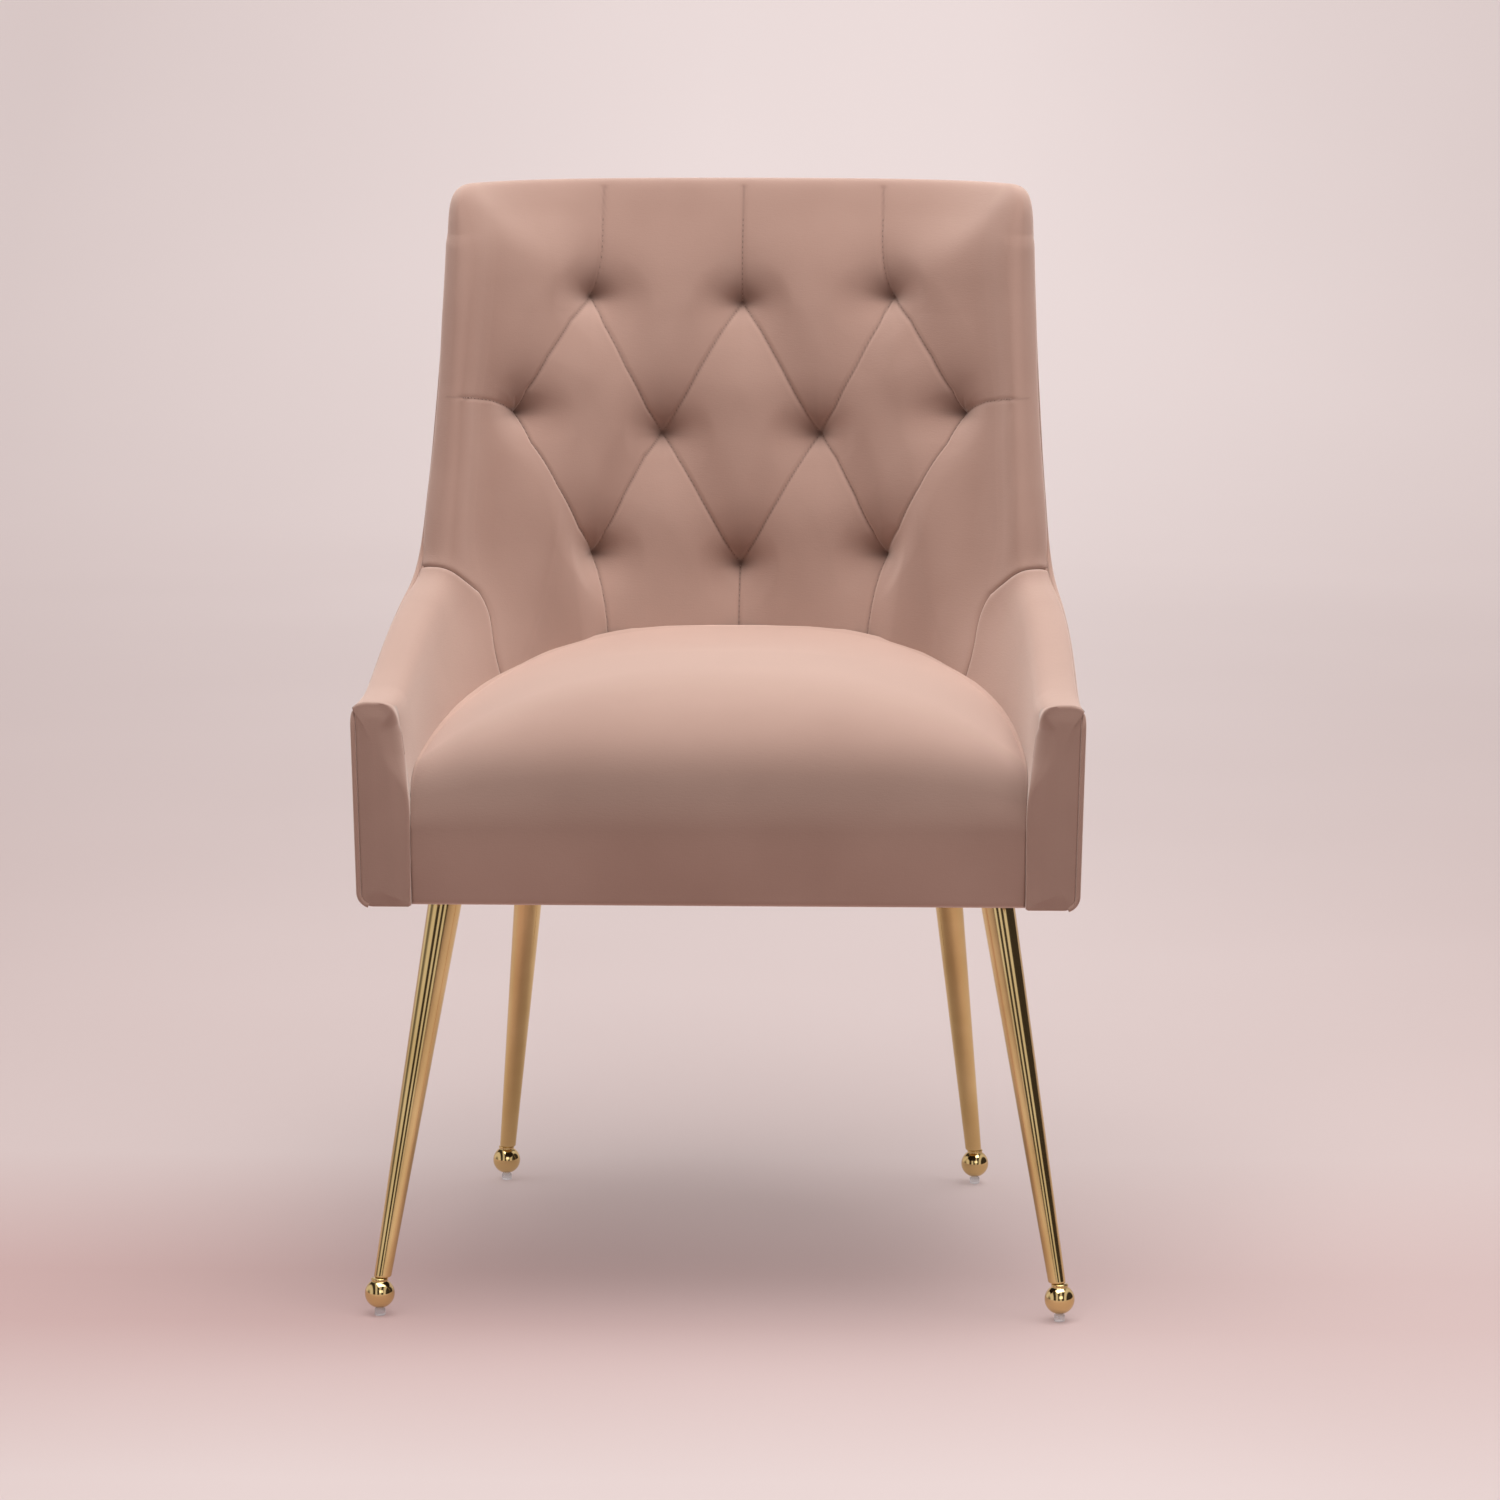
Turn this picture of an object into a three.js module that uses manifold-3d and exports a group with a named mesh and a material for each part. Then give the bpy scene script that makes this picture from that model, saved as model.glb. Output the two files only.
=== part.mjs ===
// An upholstered side chair: a tufted wrap-around shell on four tapered metal legs with ball feet.
// Millimetres. -Y is where the sitter looks and +Z is up. Left and right are as seen from in front of
// the chair, so +X is to the right. While it is built, y is the distance behind the front of the arms;
// the finished group is moved so that the origin is on the floor, in the middle of the chair.
import * as THREE from "three";
import { mergeVertices } from "three/addons/utils/BufferGeometryUtils.js";
import Module from "manifold-3d";

const wasm = await Module();
wasm.setup();

// ---- Driving dimensions ----
const GAP = 0.3; // clearance between pieces that touch
const SHELL_BOTTOM = 335; // underside of the upholstered body
const TOP = 880; // top of the back
const SIDE_HALF = [277, 290]; // outside half-width of the body, at the bottom and the top
const ARM_FLARE = 5.5; // how far the arm fronts stand out beyond the body
const ARM_FLARE_DEPTH = 35;
const OUTSIDE_DEPTH = [500, 600]; // outside of the back, behind the arm fronts, at the bottom and the top
const OUTSIDE_SQUARE = [3.5, 4.3]; // how square the outside plan is, at the bottom and the top
const INSIDE_HALF = 241; // inside half-width between the arms
const INSIDE_DEPTH = [404, 541];
const INSIDE_SQUARE = [2.5, 3.5]; // at seat height and near the top
const SEAT_LEVEL = 470;
const INSIDE_SQUARE_RISE = 300;
const EDGE_WALL = 34; // thickness of the padded wall along its rolled edge
const WALL_GROWTH = 110; // distance from the edge over which the wall reaches its full padding
const RAY_CENTRE = 230; // behind this the shell is laid out by angle about a point on the centre line
// The rolled edge is two elliptical quarters that meet at its top: a tight one outside, a fuller one inside.
const ROLL_OUT = { depth: 13, drop: 6.5 };
const ROLL_IN = { depth: EDGE_WALL - ROLL_OUT.depth, drop: 24 };

const BOARD = 4.5; // outside panel: card or ply under fabric
const FRAME_FRONT = 10; // where the frame starts behind the arm facing
const FRAME = [BOARD + 2.5, 20]; // depth of the frame below the outside surface
const RAIL = [22.6, 42.6]; // depth of the seat rails, inside the frame
const FOAM_BACK = FRAME[1] + 3.3; // depth of the foam's back, in front of the frame
const FRAME_EDGE = 13; // distance of the frame from the rolled edge
const COVER = 2; // fabric with its wadding
const PIPING_RADIUS = 2;
const PIPING_DROP = 9.3; // from the top of the rolled edge down its outside
const PIPING_DEPTH = 0.5;
const ARM_SEAM = 316; // where the inside arm cover meets the inside back cover, along the edge
const BACK_SEAM = 400; // where the outside arm panel meets the outside back panel

const RAIL_BOTTOM = 342;
const RAIL_TOP = 405;
const PAD_BOTTOM = 410; // lowest edge of the inside pads and of the seat foam
const SEAT_FRONT = 4; // how far the seat front is behind the arm facings
const SEAT_LIP = 12; // depth of the seat foam in front of the front rail
const SEAT_RIM = [437, 500]; // where the seat meets the arms, at the front, and the back, in its middle
const SEAT_CLEARANCE = 2.6; // from the seat to the arms and the back
const SEAT_CROWN = [492, 507, 502]; // height of the middle of the seat, front to back
const SPRING = { wire: 2, swing: 20, pitch: 55, rows: [[55, 476], [150, 458]] };
const STRAP = { offset: 75, width: 45, thick: 1.2 };
const BLOCK_TOP = 382;
const PLATE = [338.8, 341.7]; // mounting plate, underside and top
const PLATE_HALF = 28;
const SCREW = { radius: 2.2, head: 4.5, bottom: 337, seat: 338.5, tip: 358, hole: 2.6 };
const DUST_COVER = [335.6, 336.6];

const LEG_RADIUS = [13.8, 7]; // at the shell and just above the ball
const LEG_TOP = 338.5;
const LEG_FOOT = 31; // top of the ball's collar
const BALL_CENTRE = 18;
const BALL_RADIUS = 12.2;
const GLIDE = { height: 6, radius: 4.6 };
const LEG_WALL = 1.5;
// foot is the ball's centre and top the leg's middle at the shell's underside. The mounting plate turns
// by the given angle, to follow the corner of the body.
const LEGS = [
  { end: "front", foot: [271, 22], top: [219, 70], plate: [209, 68], turn: 0 },
  { end: "rear", foot: [208, 485], top: [176, 420], plate: [166, 407], turn: 0.76 },
];

// ---- Materials ----
const finish = (color, roughness, metalness = 0, more = {}) =>
  new THREE.MeshStandardMaterial({ color, roughness, metalness, ...more });
const VELVET = finish(0xb38d7d, 0.85);
const WOOD = finish(0xb08a5c, 0.7);
const FOAM = finish(0xe6dcc0, 0.95);
const WEBBING = finish(0x6f5a44, 0.9);
const DUST_CLOTH = finish(0x1c1a1a, 0.95);
const GOLD = finish(0xc59a52, 0.16, 1);
const STEEL = finish(0x8c8c8c, 0.4, 1);
const CLEAR = finish(0xe8edf0, 0.15, 0, { transparent: true, opacity: 0.5 });

// ---- The shell's shape ----
const mix = (a, b, k) => a + (b - a) * k;
const clamp01 = (k) => Math.min(1, Math.max(0, k));
const smooth = (k) => clamp01(k) ** 2 * (3 - 2 * clamp01(k));
const rise = (z) => (z - SHELL_BOTTOM) / (TOP - SHELL_BOTTOM);

// A plan outline is |x/half|^square + |y/depth|^square = 1. The outside is ruled between two of them.
const outsidePlan = (end) =>
  ({ half: SIDE_HALF[end], depth: OUTSIDE_DEPTH[end], square: OUTSIDE_SQUARE[end] });
const insidePlan = (z) => ({
  half: INSIDE_HALF,
  depth: mix(...INSIDE_DEPTH, rise(z)),
  square: mix(...INSIDE_SQUARE, clamp01((z - SEAT_LEVEL) / INSIDE_SQUARE_RISE)),
});
const halfWidth = ({ half, depth, square }, y) =>
  half * (1 - clamp01(y / depth) ** square) ** (1 / square);

// Distance from the ray centre to the outline, in the direction that angle has from the +X axis.
function reach({ half, depth, square }, angle) {
  const [c, s] = [Math.cos(angle), Math.sin(angle)];
  let [near, far] = [0, half + depth];
  for (let i = 0; i < 40; i++) {
    const r = (near + far) / 2;
    const value = (Math.abs(r * c) / half) ** square + ((RAY_CENTRE + r * s) / depth) ** square;
    if (value < 1) near = r;
    else far = r;
  }
  return near;
}

// Distance walked along the middle of the wall, from the arm's front, for each angle.
const WALK_STEPS = 90;
const walk = [RAY_CENTRE];
{
  const plan = { half: 260, depth: 480, square: 3.2 };
  const at = (i) => {
    const angle = ((Math.PI / 2) * i) / WALK_STEPS;
    return new THREE.Vector2(Math.cos(angle), Math.sin(angle)).multiplyScalar(reach(plan, angle));
  };
  for (let i = 1; i <= WALK_STEPS; i++) walk.push(walk[i - 1] + at(i).distanceTo(at(i - 1)));
}
const HALF_WALK = walk[WALK_STEPS];
function angleAt(p) {
  const i = Math.max(1, walk.findIndex((w) => w >= Math.min(p, HALF_WALK)));
  const k = (Math.min(p, HALF_WALK) - walk[i - 1]) / (walk[i] - walk[i - 1]);
  return ((Math.PI / 2) * (i - 1 + k)) / WALK_STEPS;
}

// The rolled edge in the unrolled wall: distance p from the arm's front against height.
// A sloping arm, a steep wing, a rounded corner, and the level top.
const CORNER_RADIUS = 30;
const armAndWing = new THREE.SplineCurve(
  [
    [0, 497],
    [70, 503],
    [170, 523],
    [260, 546],
    [323, 572],
    [360, 632],
    [389, 706],
    [412, 784],
    [427, 848],
  ].map(([p, z]) => new THREE.Vector2(p, z)),
);
const edge = new THREE.CurvePath();
{
  const end = armAndWing.getPoint(1);
  const cornerEnd = new THREE.Vector2(end.x + CORNER_RADIUS, TOP);
  edge.add(armAndWing);
  edge.add(new THREE.CubicBezierCurve(
    end,
    new THREE.Vector2(end.x + 4, end.y + 18),
    new THREE.Vector2(end.x + 10, TOP),
    cornerEnd,
  ));
  edge.add(new THREE.LineCurve(cornerEnd, new THREE.Vector2(HALF_WALK, TOP)));
}
const edgeSamples = edge.getSpacedPoints(160);
const edgeDistance = (p, z) =>
  Math.min(...edgeSamples.map((s) => Math.hypot(s.x - p, s.y - z)));

// Outside point of the wall at (p, z) and the inward direction, for the right half.
function wallFrame(p, z) {
  if (p <= RAY_CENTRE) {
    const ruled = mix(halfWidth(outsidePlan(0), p), halfWidth(outsidePlan(1), p), rise(z));
    const x = ruled + ARM_FLARE * Math.exp(-p / ARM_FLARE_DEPTH);
    const full = x - halfWidth(insidePlan(z), p);
    return { point: new THREE.Vector3(x, p, z), inward: new THREE.Vector3(-1, 0, 0), full };
  }
  const angle = angleAt(p);
  const out = mix(reach(outsidePlan(0), angle), reach(outsidePlan(1), angle), rise(z));
  const full = out - reach(insidePlan(z), angle);
  const inward = new THREE.Vector3(-Math.cos(angle), -Math.sin(angle), 0);
  return { point: new THREE.Vector3(-out * inward.x, RAY_CENTRE - out * inward.y, z), inward, full };
}
const wallAt = (p, z) =>
  mix(EDGE_WALL, wallFrame(p, z).full, smooth(edgeDistance(p, z) / WALL_GROWTH));

// A point of the wall. c is the signed distance from the middle of the back, positive on +X.
// depth counts from the outside surface, or from the inside surface where it is negative.
function inWall(c, z, depth) {
  const p = HALF_WALK - Math.abs(c);
  const { point, inward } = wallFrame(p, z);
  const d = Object.is(depth, -0) || depth < 0 ? wallAt(p, z) + depth : depth;
  const found = point.addScaledVector(inward, d);
  if (c < 0) found.x *= -1;
  return found;
}

// ---- Solids ----
const closed = (positions, index) => {
  const g = new THREE.BufferGeometry();
  g.setAttribute("position", new THREE.Float32BufferAttribute(positions.flatMap((v) => [v.x, v.y, v.z]), 3));
  g.setIndex(index);
  return g;
};

// Triangles across a loop of points, counter-clockwise about the loop's own normal.
function across(loop) {
  const normal = new THREE.Vector3();
  loop.forEach((a, i) => normal.add(a.clone().cross(loop[(i + 1) % loop.length])));
  normal.normalize();
  const turn = new THREE.Quaternion().setFromUnitVectors(normal, new THREE.Vector3(0, 0, 1));
  const flat = loop.map((v) => v.clone().applyQuaternion(turn)).map((v) => new THREE.Vector2(v.x, v.y));
  return THREE.ShapeUtils.triangulateShape(flat, []);
}

// A solid through equal loops of points, with flat ends.
function loft(loops) {
  const n = loops[0].length;
  const index = [];
  const points = loops.flat();
  for (let i = 0; i + 1 < loops.length; i++)
    for (let j = 0; j < n; j++) {
      const [a, b] = [i * n + j, i * n + ((j + 1) % n)];
      // Split along the shorter diagonal, so that nested skins split alike.
      if (points[a].distanceTo(points[b + n]) <= points[b].distanceTo(points[a + n]))
        index.push(a, b, b + n, a, b + n, a + n);
      else index.push(a, b, a + n, b, b + n, a + n);
    }
  for (const [a, b, c] of across(loops[0])) index.push(c, b, a);
  const last = (loops.length - 1) * n;
  for (const triangle of across(loops.at(-1))) index.push(...triangle.map((k) => last + k));
  return closed(points, index);
}

// three.js geometry to a manifold-3d solid and back, for cuts and for turning a solid right side out.
function solid(geometry) {
  const g = geometry.clone();
  for (const name of Object.keys(g.attributes)) if (name !== "position") g.deleteAttribute(name);
  const merged = mergeVertices(g, 1e-4);
  const made = new wasm.Manifold(new wasm.Mesh({
    numProp: 3,
    vertProperties: merged.attributes.position.array,
    triVerts: new Uint32Array(merged.index.array),
  }));
  if (made.volume() > 0) return made;
  const flipped = new Uint32Array(merged.index.array);
  for (let i = 0; i < flipped.length; i += 3)
    [flipped[i + 1], flipped[i + 2]] = [flipped[i + 2], flipped[i + 1]];
  return new wasm.Manifold(new wasm.Mesh({
    numProp: 3,
    vertProperties: merged.attributes.position.array,
    triVerts: flipped,
  }));
}
function geometryOf(made) {
  const m = made.getMesh();
  return new THREE.BufferGeometry()
    .setAttribute("position", new THREE.BufferAttribute(m.vertProperties, 3))
    .setIndex(new THREE.BufferAttribute(m.triVerts, 1));
}
const cut = (geometry, ...tools) =>
  geometryOf(tools.reduce((left, tool) => left.subtract(solid(tool)), solid(geometry)));

const chair = new THREE.Group();
function add(name, geometry, material) {
  const mesh = new THREE.Mesh(geometryOf(solid(geometry)), material);
  mesh.name = name;
  chair.add(mesh);
  return mesh;
}
const SIDES = [["left", -1], ["right", 1]];

// ---- Pieces that follow the wall ----
// A bar along a line of [c, z] points: height across the line, from one depth to another.
function bar(line, height, [outer, inner]) {
  const loops = line.map(([c, z], i) => {
    const [before, after] = [line[Math.max(0, i - 1)], line[Math.min(line.length - 1, i + 1)]];
    const along = new THREE.Vector2(after[0] - before[0], after[1] - before[1]).normalize();
    const corner = (side, depth) =>
      inWall(c - (along.y * side * height) / 2, z + (along.x * side * height) / 2, depth);
    return [corner(1, outer), corner(-1, outer), corner(-1, inner), corner(1, inner)];
  });
  return loft(loops);
}
const level = (from, to, z, steps) =>
  Array.from({ length: steps + 1 }, (_, i) => [mix(from, to, i / steps), z]);

// The edge at a share t of its length from the arm's front, and the direction into the wall.
function edgeAt(t) {
  const at = edge.getPointAt(t);
  const along = edge.getTangentAt(t);
  return { at, into: new THREE.Vector2(along.y, -along.x) };
}
// Shares of the edge's length between two values of p, closer together on the steep wing.
function edgeShares(fromP, toP, steps) {
  const share = (p) => {
    let [low, high] = [0, 1];
    for (let i = 0; i < 30; i++) {
      const t = (low + high) / 2;
      if (edge.getPointAt(t).x < p) low = t;
      else high = t;
    }
    return (low + high) / 2;
  };
  const [a, b] = [share(fromP), share(toP)];
  return Array.from({ length: steps + 1 }, (_, i) => mix(a, b, i / steps));
}
// Columns are [side, share] pairs: one side of the chair, or round the back from right to left.
const sideColumns = (sign, fromP, toP, steps) => edgeShares(fromP, toP, steps).map((t) => [sign, t]);
const backColumns = (fromP) => {
  const half = [...edgeShares(fromP, 424, 7), ...edgeShares(430, 462, 4), ...edgeShares(486, HALF_WALK, 5)];
  return [
    ...half.map((t) => [-1, t]),
    ...half.slice(0, -1).reverse().map((t) => [1, t]),
  ];
};

// A solid whose cross-section hangs from the rolled edge: each corner is [depth, drop] or
// [depth, null, z], where drop is the distance from the edge and z is a height further down.
function hang(columns, section) {
  const loops = columns.map(([side, t]) => {
    const { at, into } = edgeAt(t);
    return section.map(([depth, drop, z]) => {
      const reachIn = drop ?? 30;
      const p = Math.min(HALF_WALK, Math.max(0, at.x + into.x * reachIn));
      const top = at.y + into.y * reachIn;
      const height = drop === null ? (z <= 1 ? mix(top, PAD_BOTTOM, z) : z) : top;
      return inWall(side * (HALF_WALK - p), height, depth);
    });
  });
  return loft(loops);
}
// The rolled edge at an inset from the surface. Its inner quarter counts its depth from the inside.
const ROLL_ANGLES = [12, 45, 90, 112, 135, 157, 174];
function roll(inset, angles = ROLL_ANGLES) {
  return angles.map((degrees) => {
    const angle = THREE.MathUtils.degToRad(degrees);
    const quarter = degrees > 90 ? ROLL_IN : ROLL_OUT;
    const depth = ROLL_OUT.depth - (quarter.depth - inset) * Math.cos(angle);
    const drop = quarter.drop - (quarter.drop - inset) * Math.sin(angle);
    return [degrees > 90 ? depth - EDGE_WALL : depth, drop];
  });
}
const FACE_ROWS = [0, 0.2, 0.4, 0.6, 0.8, 1];
const coverSection = [
  ...roll(0),
  ...FACE_ROWS.map((k) => [-0, null, k]),
  ...FACE_ROWS.map((k) => [-COVER, null, k]).reverse(),
  ...roll(COVER).reverse(),
];
const foamInset = COVER + 1.4;
const foamSection = [
  ...roll(foamInset),
  ...FACE_ROWS.map((k) => [-foamInset, null, k]),
  [FOAM_BACK, null, 1],
  [FOAM_BACK, null, 0.5],
  [FOAM_BACK, null, 0],
  [FOAM_BACK, FRAME_EDGE - GAP],
  [BOARD + 1.4, FRAME_EDGE - GAP],
];
for (const [side, sign] of SIDES) {
  const columns = sideColumns(sign, FRAME_FRONT + GAP, ARM_SEAM - GAP, 8);
  add(`inside_arm_cover_${side}`, hang(columns, coverSection), VELVET);
  add(`inside_arm_foam_${side}`, hang(columns, foamSection), FOAM);
}
add("inside_back_cover", hang(backColumns(ARM_SEAM + GAP), coverSection), VELVET);
add("inside_back_foam", hang(backColumns(ARM_SEAM + GAP), foamSection), FOAM);

// ---- Outside panels, below the piping ----
const PANEL_FRONT = 5; // leaves room for the piping down the arm's front
const PANEL_DROP = PIPING_DROP + PIPING_RADIUS + 2; // leaves room for the piping
const panelSection = [
  [0, PANEL_DROP],
  [0, null, 0.5],
  [0, null, SHELL_BOTTOM],
  [BOARD, null, SHELL_BOTTOM],
  [BOARD, null, 0.5],
  [BOARD, PANEL_DROP],
];
for (const [side, sign] of SIDES) {
  const columns = sideColumns(sign, PANEL_FRONT, BACK_SEAM - GAP, 14);
  add(`outside_arm_panel_${side}`, hang(columns, panelSection), VELVET);
}
add("outside_back_panel", hang(backColumns(BACK_SEAM + GAP), panelSection), VELVET);

// ---- Frame ----
const frameSection = [
  [FRAME[0], FRAME_EDGE],
  [FRAME[0], null, RAIL_BOTTOM],
  [FRAME[1], null, RAIL_BOTTOM],
  [FRAME[1], FRAME_EDGE],
];
const POST_WIDTH = 34;
const POST_FOOT = 352;
const RAIL_MIDDLE = (RAIL_BOTTOM + RAIL_TOP) / 2;
const postLine = [
  [POST_FOOT, RAIL_BOTTOM],
  [POST_FOOT, RAIL_TOP],
  [POST_FOOT, 500],
  ...edgeShares(352, 426, 7).map((t) => {
    const { at, into } = edgeAt(t);
    at.addScaledVector(into, FRAME_EDGE + 1.2 + POST_WIDTH / 2);
    return [at.x, at.y];
  }),
];
for (const [side, sign] of SIDES) {
  const armColumns = sideColumns(sign, FRAME_FRONT + GAP, POST_FOOT - 56, 7);
  add(`arm_frame_${side}`, hang(armColumns, frameSection), WOOD);
  const post = postLine.map(([p, z]) => [sign * (HALF_WALK - p), z]);
  add(`back_post_${side}`, bar(post, POST_WIDTH, FRAME), WOOD);
  const railLine = level(sign * (HALF_WALK - 17), sign * (HALF_WALK - 300), RAIL_MIDDLE, 5);
  add(`seat_rail_${side}`, bar(railLine, RAIL_TOP - RAIL_BOTTOM, RAIL), WOOD);
}
const between = (p, z, steps) => level(-(HALF_WALK - p), HALF_WALK - p, z, steps);
add("crest_rail", bar(between(486, 842, 14), 36, FRAME), WOOD);
add("lumbar_rail", bar(between(POST_FOOT + POST_WIDTH / 2 + 1, 470, 18), 44, FRAME), WOOD);
add("seat_rail_rear", bar(between(301, RAIL_MIDDLE, 18), RAIL_TOP - RAIL_BOTTOM, RAIL), WOOD);

// ---- Seat rails, corner blocks and webbing ----
const railFront = SEAT_FRONT + SEAT_LIP + GAP;
const railBack = railFront + (RAIL[1] - RAIL[0]);
const RAIL_HALF = 232.5;
function box(low, high) {
  const [x, y, z] = [0, 1, 2].map((i) => high[i] - low[i]);
  return new THREE.BoxGeometry(x, y, z).translate(low[0] + x / 2, low[1] + y / 2, low[2] + z / 2);
}
const cylinder = (radius, low, high, x, y) =>
  new THREE.CylinderGeometry(radius, radius, high - low, 8)
    .rotateX(Math.PI / 2)
    .translate(x, y, (low + high) / 2);
add("seat_rail_front",
  box([-RAIL_HALF, railFront, RAIL_BOTTOM], [RAIL_HALF, railBack, RAIL_TOP]), WOOD);

function slab(outline, [low, high], holes = []) {
  const shape = new THREE.Shape(outline.map(([x, y]) => new THREE.Vector2(x, y)));
  for (const [x, y, radius] of holes) shape.holes.push(new THREE.Path().absarc(x, y, radius, 0, 2 * Math.PI));
  return new THREE.ExtrudeGeometry(shape, { depth: high - low, bevelEnabled: false, curveSegments: 8 })
    .translate(0, 0, low);
}
const SCREW_OFFSET = 20;
const screwsOf = ({ plate: [x, y], turn }, sign) =>
  [-SCREW_OFFSET, SCREW_OFFSET].map((across) => {
    const [c, s] = [Math.cos(turn), Math.sin(turn)];
    return [sign * (x - SCREW_OFFSET * c - across * s), y - SCREW_OFFSET * s + across * c];
  });
for (const [side, sign] of SIDES) {
  const bores = LEGS.map((leg) => screwsOf(leg, sign).map(([x, y]) =>
    cylinder(SCREW.hole, RAIL_BOTTOM - 5, SCREW.tip + 2, x, y)));
  const near = railBack + GAP;
  const front = [[150, near], [231, near], [231, 118], [205, 118], [150, 62]];
  add(`corner_block_front_${side}`,
    cut(slab(front.map(([x, y]) => [sign * x, y]), [RAIL_BOTTOM + GAP, BLOCK_TOP]), ...bores[0]), WOOD);
  const [x, y] = LEGS[1].plate;
  const degrees = THREE.MathUtils.radToDeg(Math.atan2(y - RAY_CENTRE, x));
  const middle = HALF_WALK - walk[Math.round(degrees)];
  const run = level(sign * (middle - 52), sign * (middle + 52), (RAIL_BOTTOM + BLOCK_TOP) / 2, 5);
  add(`corner_block_rear_${side}`,
    cut(bar(run, BLOCK_TOP - RAIL_BOTTOM - 2 * GAP, [RAIL[1] + 2.6, 90]), ...bores[1]), WOOD);
  const strap = [456, 520, 590, 660, 730, 800, 856].map((z) => [sign * STRAP.offset, z]);
  add(`back_webbing_${side}`,
    bar(strap, STRAP.width, [FRAME[1] + 0.9, FRAME[1] + 0.9 + STRAP.thick]), WEBBING);
}

// ---- Wires and welts ----
// A round bar along points, with its ring turned by the direction that up gives at each point.
function wire(path, radius, sides, up) {
  const loops = path.map((at, i) => {
    const along = path[Math.min(path.length - 1, i + 1)].clone().sub(path[Math.max(0, i - 1)]).normalize();
    const across = new THREE.Vector3().crossVectors(along, up[i] ?? up).normalize();
    const lift = new THREE.Vector3().crossVectors(across, along);
    return Array.from({ length: sides }, (_, k) => {
      const angle = (2 * Math.PI * k) / sides;
      return at.clone().addScaledVector(across, radius * Math.cos(angle))
        .addScaledVector(lift, radius * Math.sin(angle));
    });
  });
  return loft(loops);
}
const UP = new THREE.Vector3(0, 0, 1);
const STEPS_PER_WAVE = 5;
for (const [side, sign] of SIDES)
  SPRING.rows.forEach(([x, end], row) => {
    const start = railFront + 4;
    const waves = Math.round((end - start) / SPRING.pitch);
    const path = Array.from({ length: waves * STEPS_PER_WAVE + 1 }, (_, i) => {
      const k = i / (waves * STEPS_PER_WAVE);
      const swing = SPRING.swing * Math.sin(2 * Math.PI * waves * k);
      return new THREE.Vector3(sign * (x + swing), mix(start, end, k), RAIL_TOP + GAP + SPRING.wire);
    });
    add(`seat_spring_${side}_${row + 1}`, wire(path, SPRING.wire, 5, UP), STEEL);
  });

for (const [side, sign] of SIDES) {
  const along = edgeShares(14, HALF_WALK - 0.5, 46).map((t) => {
    const { at, into } = edgeAt(t);
    return [at.x + into.x * PIPING_DROP, at.y + into.y * PIPING_DROP];
  });
  const line = [[2.5, 337], [2.5, 380], [2.5, 425], [2.5, 481], [3.4, 486], [7, 488.8], ...along];
  const path = line.map(([p, z]) => inWall(sign * (HALF_WALK - p), z, PIPING_DEPTH));
  const up = line.map(([p, z]) => {
    const { inward } = wallFrame(p, z);
    return new THREE.Vector3(-sign * inward.x, -inward.y, 0);
  });
  add(`edge_piping_${side}`, wire(path, PIPING_RADIUS, 6, up), VELVET);
}

// ---- Arm facings ----
const FACING_OUTER = BOARD + GAP;
for (const [side, sign] of SIDES) {
  const loops = [[0, 2.5], [1.5, 0.7], [FRAME_FRONT - GAP, 0]].map(([p, inset]) => {
    const top = armAndWing.getPoint(0).y;
    const at = (depth, z) => inWall(sign * (HALF_WALK - p), z, depth);
    const arc = roll(inset, [60, 90, 112, 135, 157, 174]).map(([depth, drop]) => at(depth, top - drop));
    return [
      at(FACING_OUTER + inset, SHELL_BOTTOM + inset),
      at(FACING_OUTER + inset, top - PIPING_DROP),
      ...arc,
      ...[460, 430, 380, SHELL_BOTTOM + inset].map((z) => at(-inset - 0.01, z)),
    ];
  });
  add(`arm_facing_${side}`, loft(loops), VELVET);
}

// ---- Seat ----
// The body of the seat, from a bottom height up over its crown, smaller all round by inset.
function seatBody(inset, bottom) {
  const RIM_STEPS = 24;
  const FRONT_STEPS = 6;
  const CENTRE = new THREE.Vector3(0, 230, 0);
  const frontY = SEAT_FRONT + inset;
  const rim = (z, share = 1) => {
    const around = Array.from({ length: RIM_STEPS + 1 }, (_, i) => {
      const c = mix(HALF_WALK - frontY, frontY - HALF_WALK, i / RIM_STEPS);
      const p = HALF_WALK - Math.abs(c);
      const seam = mix(...SEAT_RIM, Math.sin((Math.PI * p) / (2 * HALF_WALK)));
      const height = z ?? mix(PAD_BOTTOM + GAP, seam - inset, share);
      return inWall(c, height, wallAt(p, height) + inset + SEAT_CLEARANCE);
    });
    const [from, to] = [around.at(-1), around[0]];
    const front = Array.from({ length: FRONT_STEPS - 1 }, (_, i) =>
      from.clone().lerp(to, (i + 1) / FRONT_STEPS));
    return [...around, ...front];
  };
  const rimAt = rim(null);
  const crown = (v) => {
    const k = clamp01((v.y - frontY) / 120);
    const middle = mix(SEAT_CROWN[1], v.y > 300 ? SEAT_CROWN[2] : SEAT_CROWN[0], Math.abs(v.y - 300) / 200);
    return mix(SEAT_RIM[0], middle, (1 - (1 - k) ** 2.4) ** (1 / 2.4)) - inset;
  };
  const dome = [0.94, 0.86, 0.72, 0.54, 0.32, 0.1].map((share) =>
    rimAt.map((v) => {
      const at = CENTRE.clone().lerp(v, share).setZ(0);
      return at.setZ(mix(crown(at), v.z, share ** 3.2));
    }));
  return loft([rim(bottom), ...[0, 0.4, 0.7].map((share) => rim(null, share)), rimAt, ...dome]);
}
const under = box([-400, railFront - GAP, 200], [400, 700, PAD_BOTTOM]);
add("seat_cover", cut(seatBody(0, SHELL_BOTTOM + 2), seatBody(COVER, 200), under), VELVET);
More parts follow.
